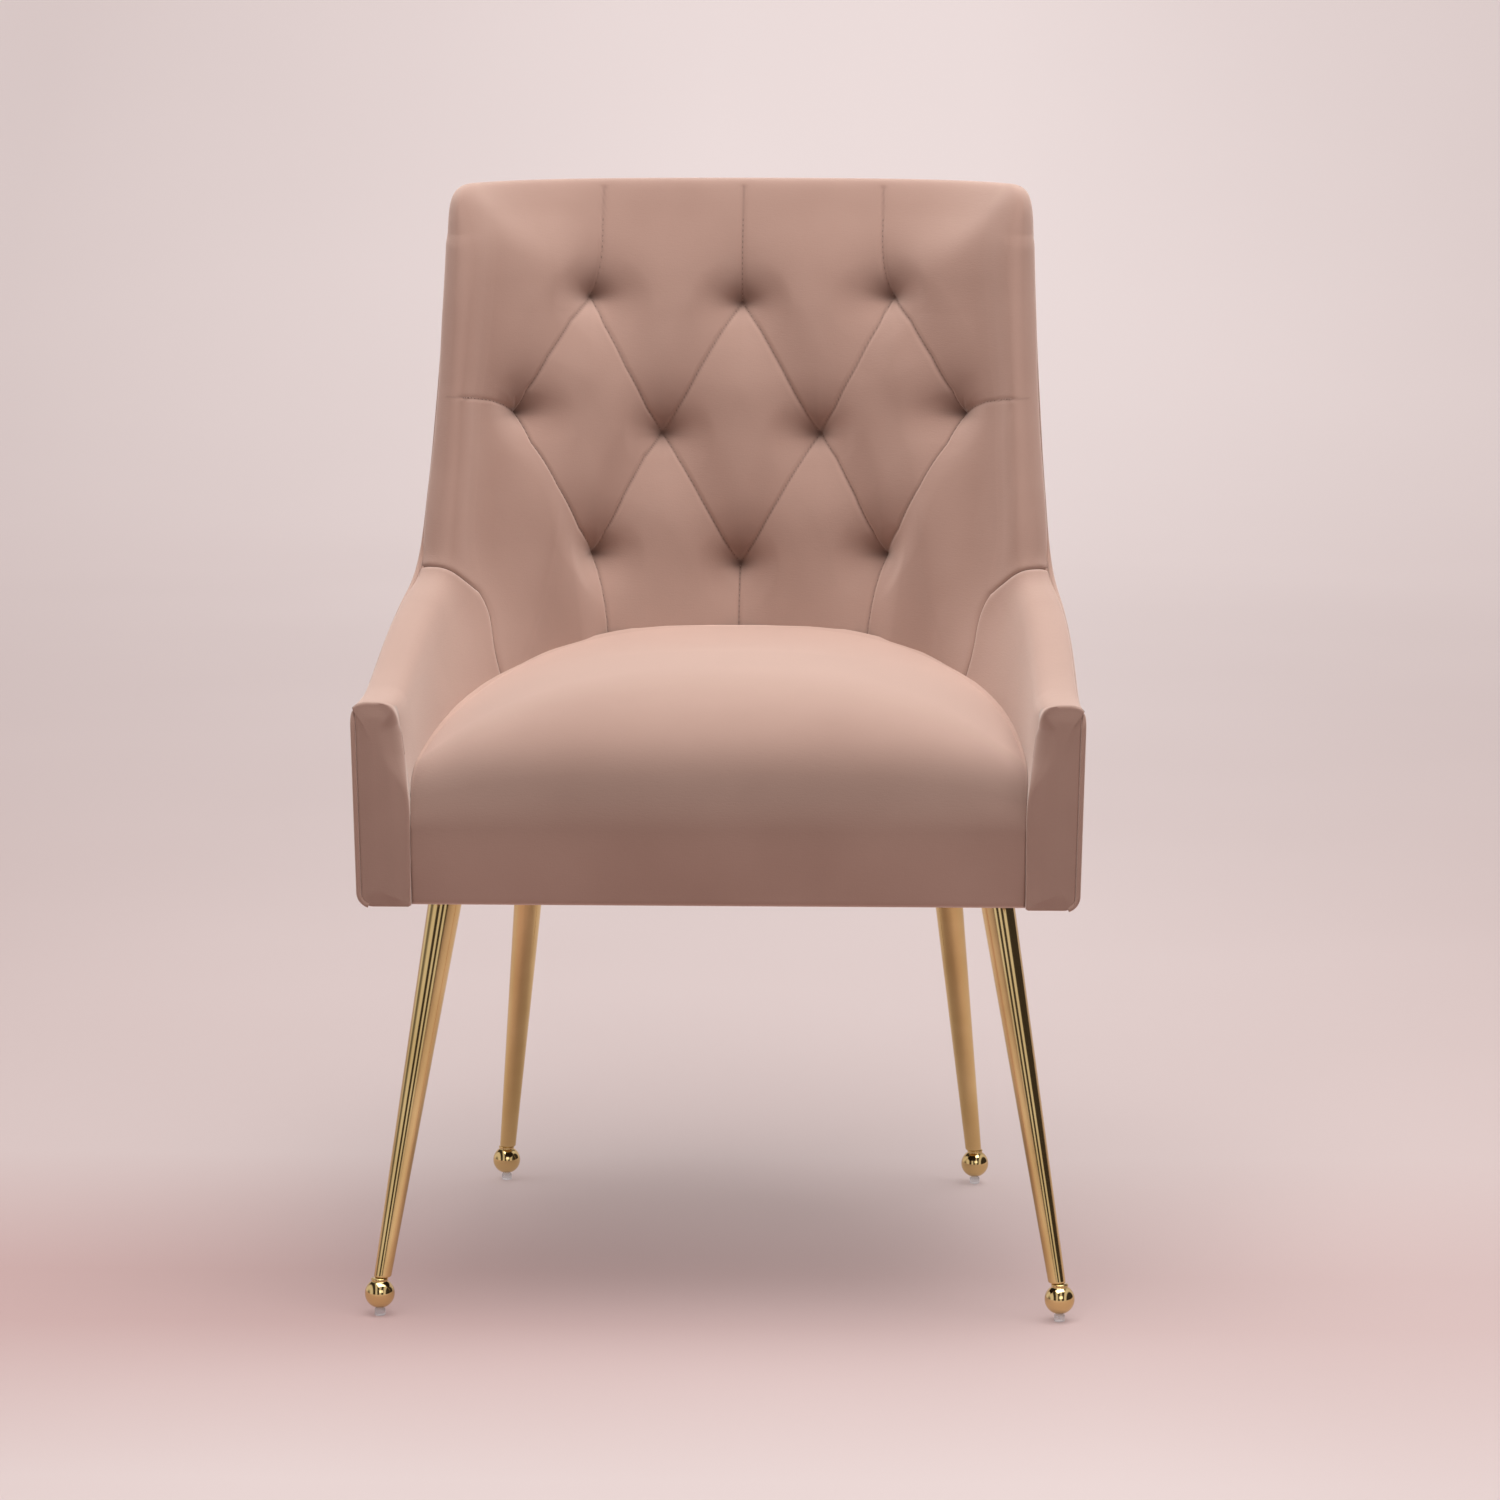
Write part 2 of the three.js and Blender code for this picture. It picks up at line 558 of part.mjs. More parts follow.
add("seat_foam", cut(seatBody(COVER + GAP, SHELL_BOTTOM + 2), under), FOAM);

// ---- Dust cover, legs and feet ----
const legCentre = ({ foot, top }, z) => {
  const k = (z - BALL_CENTRE) / (SHELL_BOTTOM - BALL_CENTRE);
  return [mix(foot[0], top[0], k), mix(foot[1], top[1], k)];
};
{
  const DUST_FRONT = 14;
  const STEPS = 28;
  const outline = level(HALF_WALK - DUST_FRONT, DUST_FRONT - HALF_WALK, DUST_COVER[0], STEPS)
    .map(([c, z]) => inWall(c, z, BOARD + 1.2).toArray());
  const holes = SIDES.flatMap(([, sign]) => LEGS.map((leg) => {
    const [x, y] = legCentre(leg, DUST_COVER[0]);
    return [sign * x, y, LEG_RADIUS[0] + 2.5];
  }));
  add("dust_cover", slab(outline, DUST_COVER, holes), DUST_CLOTH);
}
const LEG_SIDES = 18;
for (const [side, sign] of SIDES)
  for (const leg of LEGS) {
    const name = `${leg.end}_${side}`;
    const ring = (z, thinner) => {
      const [x, y] = legCentre(leg, z);
      const radius = mix(LEG_RADIUS[1], LEG_RADIUS[0], (z - LEG_FOOT) / (LEG_TOP - LEG_FOOT)) - thinner;
      return Array.from({ length: LEG_SIDES }, (_, i) => {
        const angle = (2 * Math.PI * i) / LEG_SIDES;
        return new THREE.Vector3(sign * x + radius * Math.cos(angle), y + radius * Math.sin(angle), z);
      });
    };
    const tube = loft([ring(LEG_FOOT, 0), ring(LEG_TOP, 0)]);
    const hollow = loft([ring(LEG_FOOT + 20, LEG_WALL), ring(LEG_TOP + 5, LEG_WALL)]);
    add(`leg_${name}`, cut(tube, hollow), GOLD);

    const screws = screwsOf(leg, sign);
    const corner = new THREE.Shape();
    const [h, r] = [PLATE_HALF, 6];
    corner.moveTo(h - r, -h).absarc(h - r, r - h, r, -Math.PI / 2, 0).absarc(h - r, h - r, r, 0, Math.PI / 2)
      .absarc(r - h, h - r, r, Math.PI / 2, Math.PI).absarc(r - h, r - h, r, Math.PI, 1.5 * Math.PI);
    const thickness = { depth: PLATE[1] - PLATE[0], bevelEnabled: false, curveSegments: 2 };
    const plate = new THREE.ExtrudeGeometry(corner, thickness)
      .rotateZ(sign * leg.turn)
      .translate(sign * leg.plate[0], leg.plate[1], PLATE[0]);
    const bores = screws.map(([x, y]) => cylinder(SCREW.hole, PLATE[0] - 5, PLATE[1] + 5, x, y));
    add(`leg_plate_${name}`, cut(plate, ...bores), STEEL);

    screws.forEach(([x, y], i) => {
      const profile = [
        [0, SCREW.bottom],
        [SCREW.head - 1.2, SCREW.bottom],
        [SCREW.head, SCREW.seat - 0.3],
        [SCREW.head, SCREW.seat],
        [SCREW.radius, SCREW.seat],
        [SCREW.radius, SCREW.tip - 4],
        [0, SCREW.tip],
      ].map(([radius, z]) => new THREE.Vector2(radius, z));
      const screw = new THREE.LatheGeometry(profile, 8).rotateX(Math.PI / 2).translate(x, y, 0);
      add(`plate_screw_${name}_${i + 1}`, screw, STEEL);
    });

    const [x, y] = leg.foot;
    const round = (points, sides) =>
      new THREE.LatheGeometry(points.map(([radius, z]) => new THREE.Vector2(radius, z)), sides)
        .rotateX(Math.PI / 2)
        .translate(sign * x, y, 0);
    const COLLAR = 6.4;
    const arc = [-50, -30, -10, 10, 30, 50].map(THREE.MathUtils.degToRad).map((angle) =>
      [BALL_RADIUS * Math.cos(angle), BALL_CENTRE + BALL_RADIUS * Math.sin(angle)]);
    const base = GLIDE.height + GAP;
    add(`ball_foot_${name}`, round([
      [0, base],
      [GLIDE.radius + 0.6, base],
      ...arc,
      [COLLAR, LEG_FOOT - 2.6],
      [COLLAR, LEG_FOOT - GAP],
      [0, LEG_FOOT - GAP],
    ], 16), GOLD);
    add(`glide_${name}`, round([
      [0, 0],
      [GLIDE.radius - 0.7, 0],
      [GLIDE.radius, 0.8],
      [GLIDE.radius, GLIDE.height - 0.6],
      [GLIDE.radius - 0.6, GLIDE.height],
      [0, GLIDE.height],
    ], 10), CLEAR);
  }

// ---- The chair's own frame ----
const bounds = new THREE.Box3().setFromObject(chair);
for (const mesh of chair.children) mesh.position.y = -(bounds.min.y + bounds.max.y) / 2;

export default chair;
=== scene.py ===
"""Looks for the tufted wrap-around side chair: velvet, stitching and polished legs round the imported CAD.

Shapes are worked out in millimetres in the chair's own layout (x to the right as seen from in front,
y behind the front of the arms, z up) and moved into the row's frame, in metres, as each mesh is made.
"""
import math

import bmesh
import bpy
from mathutils.geometry import delaunay_2d_cdt
import numpy as np
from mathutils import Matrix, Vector


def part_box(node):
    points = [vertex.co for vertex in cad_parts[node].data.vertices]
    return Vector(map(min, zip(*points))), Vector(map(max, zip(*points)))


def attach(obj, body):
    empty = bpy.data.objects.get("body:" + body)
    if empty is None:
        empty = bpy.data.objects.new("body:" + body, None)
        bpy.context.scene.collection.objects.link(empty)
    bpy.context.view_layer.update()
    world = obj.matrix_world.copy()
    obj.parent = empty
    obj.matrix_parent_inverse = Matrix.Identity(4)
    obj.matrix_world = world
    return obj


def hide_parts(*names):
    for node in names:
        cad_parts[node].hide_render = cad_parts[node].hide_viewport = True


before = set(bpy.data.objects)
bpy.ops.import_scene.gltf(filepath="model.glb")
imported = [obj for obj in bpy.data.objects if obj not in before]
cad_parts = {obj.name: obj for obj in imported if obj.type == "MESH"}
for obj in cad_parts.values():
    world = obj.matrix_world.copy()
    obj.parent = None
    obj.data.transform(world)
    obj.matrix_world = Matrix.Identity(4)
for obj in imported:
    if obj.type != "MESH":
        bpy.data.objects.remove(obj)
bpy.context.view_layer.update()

MM = 0.001
# The front of the arm facings is y = 0 here.
FRONT_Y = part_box("arm_facing_left")[0].y / MM

# ---- The shell's layout, as in the CAD ----
SHELL_BOTTOM = 335.0
TOP = 880.0
SIDE_HALF = (277.0, 290.0)
ARM_FLARE = 5.5
ARM_FLARE_DEPTH = 35.0
OUTSIDE_DEPTH = (500.0, 600.0)
OUTSIDE_SQUARE = (3.5, 4.3)
INSIDE_HALF = 241.0
INSIDE_DEPTH = (404.0, 541.0)
INSIDE_SQUARE = (2.5, 3.5)
SEAT_LEVEL = 470.0
INSIDE_SQUARE_RISE = 300.0
EDGE_WALL = 34.0
WALL_GROWTH = 110.0
RAY_CENTRE = 230.0
ROLL_OUT = (13.0, 6.5)  # depth and drop of the tight outer quarter of the rolled edge
ROLL_IN = (EDGE_WALL - ROLL_OUT[0], 24.0)
ROLL_REACH = 30.0  # drop at which the inside face takes over from the roll
BOARD = 4.5
FOAM_BACK = 23.3
FRAME_EDGE = 13.0
PAD_BOTTOM = 410.0
ARM_SEAM = 316.0
BACK_SEAM = 400.0
PIPING_DROP = 9.3
PIPING_RADIUS = 2.0
ARM_TOP = 497.0
ARM_AND_WING = [
    (0, ARM_TOP), (70, 503), (170, 523), (260, 546), (323, 572),
    (360, 632), (389, 706), (412, 784), (427, 848),
]
CORNER_RADIUS = 30.0

SEAT_FRONT = 4.0
SEAT_LIP = 12.0
SEAT_RIM = (437.0, 503.0)
SEAT_CLEARANCE = 0.2
SEAT_CROWN = (496.0, 512.0, 508.0)  # heights of the middle line 200 before, at and 200 behind y = 300


def mix(a, b, k):
    return a + (b - a) * k


def smooth(k):
    k = np.clip(k, 0, 1)
    return k * k * (3 - 2 * k)


def rise(z):
    return (z - SHELL_BOTTOM) / (TOP - SHELL_BOTTOM)


def inside_plan(z):
    square = mix(*INSIDE_SQUARE, np.clip((z - SEAT_LEVEL) / INSIDE_SQUARE_RISE, 0, 1))
    return INSIDE_HALF, mix(*INSIDE_DEPTH, rise(z)), square


def half_width(plan, y):
    half, depth, square = plan
    return half * (1 - np.clip(y / depth, 0, 1) ** square) ** (1 / square)


def reach(plan, angle):
    """Distance from the ray centre to the outline |x/half|^square + |y/depth|^square = 1."""
    half, depth, square = plan
    c, s = np.cos(angle), np.sin(angle)
    near = np.zeros_like(angle)
    far = near + half + depth
    for _ in range(30):
        r = (near + far) / 2
        inside = (np.abs(r * c) / half) ** square + ((RAY_CENTRE + r * s) / depth) ** square < 1
        near, far = np.where(inside, r, near), np.where(inside, far, r)
    return near


def outside_plan(end):
    return SIDE_HALF[end], OUTSIDE_DEPTH[end], OUTSIDE_SQUARE[end]


def lengths_along(points):
    """Distance of every point from the first one, walked along the line."""
    return np.concatenate([[0], np.cumsum(np.linalg.norm(np.diff(points, axis=0), axis=1))])


MIDDLE_PLAN = (260.0, 480.0, 3.2)  # half width, depth and squareness of the line the wall is walked along
TURN_DEGREES = np.arange(91.0)


def walked():
    """Distance from the arm's front along the wall, at each whole degree round the ray centre."""
    angles = np.radians(TURN_DEGREES)
    points = np.stack([np.cos(angles), np.sin(angles)], -1) * reach(MIDDLE_PLAN, angles)[:, None]
    return RAY_CENTRE + lengths_along(points)


WALK = walked()
HALF_WALK = WALK[-1]


def catmull_rom(points, steps):
    """A smooth curve through points."""
    points = np.array(points, float)
    ends = np.concatenate([points[:1], points, points[-1:]])
    found = []
    for a, b, c, d in zip(ends, ends[1:], ends[2:], ends[3:]):
        t = np.arange(steps)[:, None] / steps
        v0, v1 = (c - a) / 2, (d - b) / 2
        found.append((2 * b - 2 * c + v0 + v1) * t**3 + (3 * c - 3 * b - 2 * v0 - v1) * t**2 + v0 * t + b)
    return np.concatenate(found)


def edge_line():
    """The rolled edge in (p, z), p being the distance from the arm's front."""
    start = catmull_rom(ARM_AND_WING, 24)
    end = np.array(ARM_AND_WING[-1], float)
    corner_end = np.array([end[0] + CORNER_RADIUS, TOP])
    a, b = end + [4, 18], np.array([end[0] + 10, TOP])
    t = np.linspace(0, 1, 30)[:, None]
    bezier = (1 - t) ** 3 * end + 3 * (1 - t) ** 2 * t * a + 3 * (1 - t) * t**2 * b + t**3 * corner_end
    level = np.linspace(corner_end, [HALF_WALK, TOP], 30)[1:]
    return np.concatenate([start, bezier, level])


EDGE = edge_line()
EDGE_LENGTH = lengths_along(EDGE)
TURN_SPREAD = 26.0  # the directions into the wall turn gradually round the top corners


def on_edge(length):
    """Points (p, z) of the edge at these lengths from the arm's front."""
    return np.stack([np.interp(length, EDGE_LENGTH, EDGE[:, i]) for i in (0, 1)], -1)


def below_edge(length, drop):
    """Places p and z on the wall at a drop from the edge, square to it."""
    at = on_edge(length)
    along = on_edge(length + TURN_SPREAD) - on_edge(length - TURN_SPREAD)
    along /= np.linalg.norm(along, axis=-1, keepdims=True)
    return at[:, 0] + along[:, 1] * drop, at[:, 1] - along[:, 0] * drop


def edge_length_at(p):
    return np.interp(p, EDGE[:, 0], EDGE_LENGTH)


MARK_STEP = 3.0
PAST_MIDDLE = 240.0  # the marks run on past the middle of the back, where the edge stays level
MARK_LENGTHS = np.arange(0, EDGE_LENGTH[-1] + PAST_MIDDLE, MARK_STEP)
EDGE_MARKS = on_edge(MARK_LENGTHS)
EDGE_MARKS[:, 0] += np.maximum(0, MARK_LENGTHS - EDGE_LENGTH[-1])


def edge_distance(p, z):
    """Distance to the rolled edge, rounded off where two stretches of it are as near."""
    pull = np.zeros(np.shape(p))
    for mark in EDGE_MARKS:
        pull += MARK_STEP / (4 + (mark[0] - p) ** 2 + (mark[1] - z) ** 2) ** 3
    return (pull / (3 * np.pi / 8)) ** -0.2


def wall_frame(p, z):
    """Outside point of the right half of the wall, its inward direction and its full thickness."""
    p, z = np.broadcast_arrays(np.asarray(p, float), np.asarray(z, float))
    angle = np.radians(np.interp(p, WALK, TURN_DEGREES))
    out = mix(reach(outside_plan(0), angle), reach(outside_plan(1), angle), rise(z))
    ray_full = out - reach(inside_plan(z), angle)
    ruled = mix(half_width(outside_plan(0), p), half_width(outside_plan(1), p), rise(z))
    x = ruled + ARM_FLARE * np.exp(-p / ARM_FLARE_DEPTH)
    straight = p <= RAY_CENTRE
    c, s = np.cos(angle), np.sin(angle)
    point = [np.where(straight, x, out * c), np.where(straight, p, RAY_CENTRE + out * s), z]
    inward = [np.where(straight, -1.0, -c), np.where(straight, 0.0, -s), 0 * z]
    full = np.where(straight, x - half_width(inside_plan(z), p), ray_full)
    return np.stack(point, -1), np.stack(inward, -1), full


def wall_at(p, z):
    full = wall_frame(p, z)[2]
    return mix(EDGE_WALL, full, smooth(edge_distance(p, z) / WALL_GROWTH))


CREST_RISE = 4.0  # how far the filling lifts the cover in the middle of the top edge
CREST_RISE_HALF, CREST_RISE_FROM, CREST_RISE_TALL = 250.0, 780.0, 100.0


def across(side, p):
    """Distance from the middle of the back at a distance from the arm's front, by the side's sign."""
    return side * (HALF_WALK - np.clip(p, 0, HALF_WALK))


def in_wall(c, z, depth, from_inside=False):
    """A point of the wall: c across from the middle of the back, depth from the outside or the inside."""
    c, z = np.broadcast_arrays(np.asarray(c, float), np.asarray(z, float))
    p = HALF_WALK - np.abs(c)
    point, inward, _ = wall_frame(p, z)
    if from_inside:
        depth = wall_at(p, z) - depth
    found = point + inward * np.broadcast_to(depth, p.shape)[..., None]
    found[..., 0] *= np.where(c < 0, -1, 1)
    in_middle = 1 - (np.abs(c) / CREST_RISE_HALF).clip(0, 1) ** 2
    found[..., 2] += CREST_RISE * in_middle * smooth((z - CREST_RISE_FROM) / CREST_RISE_TALL)
    return found


# How square the inner quarter of the rolled edge is, at lengths from the arm's front; 2 is an ellipse.
ROLL_SQUARE = ([0, 60, 330, 560, 640], [4.2, 3.2, 3.0, 2.6, 2.1])


def roll_point(turn, length=0.0, side_inset=0.0, top_inset=0.0):
    """(depth, drop) of the rolled edge's section at a turn in degrees, from the outside to the inside."""
    angle = math.radians(turn)
    c, s = math.cos(angle), math.sin(angle)
    if turn <= 90:
        return ROLL_OUT[0] - (ROLL_OUT[0] - side_inset) * c, ROLL_OUT[1] - (ROLL_OUT[1] - top_inset) * s
    square = np.interp(length, *ROLL_SQUARE)
    c, s = -(abs(c) ** (2 / square)), s ** (2 / square)
    return ROLL_OUT[0] - (ROLL_IN[0] - side_inset) * c, ROLL_IN[1] - (ROLL_IN[1] - top_inset) * s


# ---- Meshes ----
def placed_object(name, data):
    found = bpy.data.objects.new(name, data)
    bpy.context.scene.collection.objects.link(found)
    return found


def mesh_piece(name, points, faces, material, slot, replaced=(), merge=0.0, shade=None):
    """A piece from points in the chair's layout, riding on the chair's one body."""
    mesh = bpy.data.meshes.new(name)
    placed = (np.asarray(points, float).reshape(-1, 3) + [0, FRONT_Y, 0]) * MM
    mesh.from_pydata(placed.tolist(), [], [list(f) for f in faces])
    if shade is not None:
        mesh.attributes.new("shade", "FLOAT", "POINT").data.foreach_set("value", np.ravel(shade).astype("f4"))
    bm = bmesh.new()
    bm.from_mesh(mesh)
    if merge:
        bmesh.ops.remove_doubles(bm, verts=bm.verts, dist=merge * MM)
    bmesh.ops.dissolve_degenerate(bm, dist=1e-7, edges=bm.edges)
    bmesh.ops.recalc_face_normals(bm, faces=bm.faces)
    bm.to_mesh(mesh)
    bm.free()
    mesh.shade_smooth()
    mesh.materials.append(material)
    piece = placed_object(name, mesh)
    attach(piece, "root")
    if replaced:
        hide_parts(*replaced)
    return piece


def grid_faces(rows, columns, wrap_rows=False, wrap_columns=False):
    """Quads of a grid of points numbered row by row."""
    i, j = np.meshgrid(
        np.arange(rows if wrap_rows else rows - 1),
        np.arange(columns if wrap_columns else columns - 1), indexing="ij")
    below, right = (i + 1) % rows, (j + 1) % columns
    quads = np.stack([i * columns + j, i * columns + right, below * columns + right, below * columns + j], -1)
    return quads.reshape(-1, 4).tolist()


def shell_faces(points):
    """Faces of a shell whose rows go once round its section, closed at both ends."""
    count, columns = points.shape[:2]
    starts = [i * columns for i in range(count)]
    return grid_faces(count, columns, wrap_rows=True) + [starts, [k + columns - 1 for k in starts][::-1]]


def ring_faces(rings, sides):
    """Faces of rings joined into a tube, closed at both ends."""
    first, last = range(sides), range((rings - 1) * sides, rings * sides)
    return grid_faces(rings, sides, wrap_columns=True) + [list(first), list(last)[::-1]]


def tube(path, radius, sides):
    """Points and faces of a round tube along points, with fan ends."""
    path = np.asarray(path, float)
    along = np.gradient(path, axis=0)
    along /= np.linalg.norm(along, axis=1, keepdims=True)
    aside = np.cross(along, [0.0, 0.0, 1.0])
    weak = np.linalg.norm(aside, axis=1) < 0.2
    aside[weak] = np.cross(along[weak], [1.0, 0.0, 0.0])
    # Carry one frame along the path, so that the tube doesn't twist.
    for i in range(1, len(path)):
        aside[i] = aside[i - 1] - along[i] * np.dot(aside[i - 1], along[i])
    aside /= np.linalg.norm(aside, axis=1, keepdims=True)
    lift = np.cross(along, aside)
    turn = np.arange(sides)[:, None] * 2 * np.pi / sides
    radius = np.broadcast_to(radius, len(path))[:, None, None]
    rings = path[:, None] + radius * (aside[:, None] * np.cos(turn) + lift[:, None] * np.sin(turn))
    return rings.reshape(-1, 3), ring_faces(len(path), sides)


# ---- Tufting: where the velvet is pulled in ----
# Tufts as (distance across the inside of the back from its middle, height).
ROW_ONE = [(0, 775), (105.5, 781)]
ROW_TWO = [(60, 663.5), (177, 685)]
ROW_THREE = [(0, 552), (127, 563)]
PIT = 29.0  # how deep a tuft pulls the surface in
PIT_REACH = (24.0, 18.0, 25.0)  # how far it spreads sideways, upwards and downwards
VALLEY = 5.5  # depth of the stitched diagonals next to a tuft
VALLEY_REACH = 12.0
PILLOW = 4.5  # how far the filling stands out between the seams
PILLOW_REACH = 40.0
TUFT_LEAN = 0.1  # how far a diagonal bows out, as a share of its distance from the middle of the back
CREST_EASE = 8.0  # how far the padding falls back towards the top edge
SEAM_WIDTH = 1.5
SEAM_DEPTH = 1.5
FIELD = (235.0, 860.0)  # half width and top of the part that the filling puffs out


def both_sides(points):
    return [(c, z) for c, z in points] + [(-c, z) for c, z in points if c > 0]


TUFTS = both_sides(ROW_ONE + ROW_TWO + ROW_THREE)
WING_SEAM_HEIGHT = 703.0
SEAT_SEAM_FOOT = 470.0
CREST_FOOT = 872.0


def bowed_out(a, b):
    """A diagonal that runs straight once its tufts, which lean outwards, have pulled its ends in."""
    lean = TUFT_LEAN * (a[0] + b[0]) / 2
    return [(mix(a[0], b[0], k) + lean * share, mix(a[1], b[1], k))
            for k, share in ((0, 0), (0.2, 0.75), (0.5, 1), (0.8, 0.75), (1, 0))]


def seam_lines():
    """Every line of the back's sewing and folds, as (kind, points)."""
    (a0, a1), (b1, b2), (c0, c1) = ROW_ONE, ROW_TWO, ROW_THREE
    edge_c = HALF_WALK - np.interp(WING_SEAM_HEIGHT, EDGE[:220, 1], EDGE[:220, 0])
    ties = ((a0, b1), (a1, b1), (a1, b2), (b1, c0), (b1, c1), (b2, c1))
    lines = [("diagonal", bowed_out(*ends)) for ends in ties]
    lines += [
        ("crest", [a1, (88, CREST_FOOT)]),
        ("seat", [c1, (137, SEAT_SEAM_FOOT)]),
        ("fold", [b2, (186, 706), (191, 728)]),
        ("wing", [b2, (192.5, 692.5), (208, 697.5), (232, 701.5), (edge_c, WING_SEAM_HEIGHT)]),
    ]
    lines += [(kind, [(-c, z) for c, z in line]) for kind, line in lines]
    lines += [("crest", [a0, (0, CREST_FOOT)]), ("seat", [c0, (0, SEAT_SEAM_FOOT)])]
    return lines


SEAMS = seam_lines()
# For each kind of line: the depth of its valley at its tufts and away from them, how wide the valley
# spreads, how deep the stitching is and how much shade is painted on the pile beside it.
SEAM_KINDS = {
    "diagonal": (1.0, 0.5, 1.0, 1.0, 0.42),
    "crest": (1.0, 0.2, 0.8, 1.0, 0.26),
    "seat": (1.0, 0.45, 0.9, 1.0, 0.42),
    "wing": (0.8, 0.12, 0.6, 0.55, 0.22),
    "fold": (0.9, 0.0, 0.5, 0.0, 0.0),
}


def to_segment(c, z, a, b):
    """Distance to a segment and the share of its length there."""
    dc, dz = b[0] - a[0], b[1] - a[1]
    share = np.clip(((c - a[0]) * dc + (z - a[1]) * dz) / (dc * dc + dz * dz), 0, 1)
    return np.hypot(c - a[0] - share * dc, z - a[1] - share * dz), share


def relief(c, z):
    """How far the inside of the back is pulled in from its smooth shape, negative where it stands out."""
    pits = np.zeros(np.shape(c))
    filled = np.ones(np.shape(c))
    for tuft in TUFTS:
        dc, dz = c - tuft[0], z - tuft[1]
        r = np.hypot(dc / PIT_REACH[0], dz / np.where(dz > 0, PIT_REACH[1], PIT_REACH[2]))
        pits += np.exp(-3 * r)
        filled *= smooth(np.hypot(dc, dz) / PILLOW_REACH)
    valley = np.zeros(np.shape(c))
    stitch = np.zeros(np.shape(c))
    for kind, line in SEAMS:
        start, middle, spread, sewn, _ = SEAM_KINDS[kind]
        count = len(line) - 1
        nearest, along = np.full(np.shape(c), 1e9), np.zeros(np.shape(c))
        for i, (a, b) in enumerate(zip(line, line[1:])):
            d, share = to_segment(c, z, a, b)
            closer = d < nearest
            nearest, along = np.where(closer, d, nearest), np.where(closer, (i + share) / count, along)
        if kind == "diagonal":
            depth = mix(middle, start, np.abs(2 * along - 1) ** 2)
        else:
            depth = mix(start, middle, smooth(along * 1.6))
        valley = np.maximum(valley, VALLEY * depth * np.exp(-((nearest / (VALLEY_REACH * spread)) ** 1.15)))
        stitch = np.maximum(stitch, SEAM_DEPTH * sewn * np.exp(-((nearest / SEAM_WIDTH) ** 2)))
        if kind not in ("wing", "fold"):
            filled *= smooth(nearest / PILLOW_REACH)
    field = smooth((FIELD[0] - np.abs(c)) / 70) * smooth((FIELD[1] - z) / 60)
    crest = CREST_EASE * smooth((z - 812) / 68) ** 1.5
    return PIT * pits ** (1 / 3) + valley + stitch + crest - PILLOW * filled * field


# Width of the painted shade along the stitching.
PAINTED_SHADE_WIDTH = 0.95


def painted_tuft_and_seam_shade(c, z):
    """How much painted shade darkens the pile: above the tufts and along the stitching."""
    dark = np.zeros(np.shape(c))
    for tuft in TUFTS:
        dc, dz = c - tuft[0], z - tuft[1]
        above = np.exp(-np.hypot(dc / 13, np.maximum(dz, 0) / 24) ** 1.3 - (np.minimum(dz, 0) / 3.5) ** 2)
        dark = np.maximum(dark, 0.5 * above)
    for kind, line in SEAMS:
        for a, b in zip(line, line[1:]):
            d, _ = to_segment(c, z, a, b)
            dark = np.maximum(dark, SEAM_KINDS[kind][-1] * np.exp(-((d / PAINTED_SHADE_WIDTH) ** 2)))
    return dark


# ---- Pads that hang from the rolled edge ----
ARM_SEAM_BOW = {"out": 27.0, "height": 533.0, "tall": 38.0, "at": 332.0, "wide": 70.0}
TOP_PULL = 1.2  # the most that a seam is pulled in on top of the roll


def bowed(p, z):
    """The seam between arm and back bows backwards on its way down to the seat, and the cloth with it."""
    bow = ARM_SEAM_BOW
    near = np.exp(-(((p - bow["at"]) / bow["wide"]) ** 2))
    return p + bow["out"] * near * np.exp(-(((z - bow["height"]) / bow["tall"]) ** 2))


def hang_points(side, length, rows, pull, end_gap):
    """Points and shades of rows across the wall: over the roll, down the face, and back up behind."""
    found, shades = [], []
    for kind, value in rows:
        from_inside = kind == "face" or (kind == "roll" and value > 90)
        if kind == "roll":
            p, z = below_edge(length, roll_point(value, length)[1])
            pulled = pull(across(side, bowed(p, z)), z)
            on_top = end_gap + np.clip(pulled, 0, TOP_PULL)
            depth, drop = roll_point(value, length, end_gap + pulled if from_inside else on_top, on_top)
            if from_inside:
                depth = EDGE_WALL - depth
            p, z = below_edge(length, drop)
            p = bowed(p, z)
        elif kind == "edge":
            depth, drop = value
            p, z = below_edge(length, drop)
        else:
            p, top = below_edge(length, ROLL_REACH)
            z = mix(top, PAD_BOTTOM, value)
            p = bowed(p, z)
            depth = end_gap + pull(across(side, p), z) if from_inside else FOAM_BACK
        c = across(side, p)
        found.append(in_wall(c, z, depth, from_inside))
        shades.append(painted_tuft_and_seam_shade(c, z) if from_inside and pull is relief else np.zeros(len(p)))
    return np.stack(found), np.stack(shades)


ROLL_TURNS = np.concatenate([np.linspace(14, 84, 9), np.linspace(92, 179, 20)])
BACK_ROWS = [
    ("back", 1.0), ("back", 0.5), ("back", 0.0), ("edge", (FOAM_BACK, FRAME_EDGE)),
    ("edge", (BOARD + 1.4, FRAME_EDGE)),
]


def velvet_piece(name, points, faces, replaced, **options):
    return mesh_piece(name, points, faces, VELVET, "velvet", replaced, **options)


def pad(name, side, length, face_rows, replaced, pull, end_gap, front=None):
    """A padded shell that hangs from the edge: roll, face and back, with a change made to its points."""
    rows = [("roll", turn) for turn in ROLL_TURNS]
    rows += [("face", k) for k in np.linspace(0, 1, face_rows)] + BACK_ROWS
    points, shade = hang_points(side, length, rows, pull, end_gap)
    if front is not None:
        points = front(points)
    piece = velvet_piece(name, points, shell_faces(points), replaced, shade=shade)


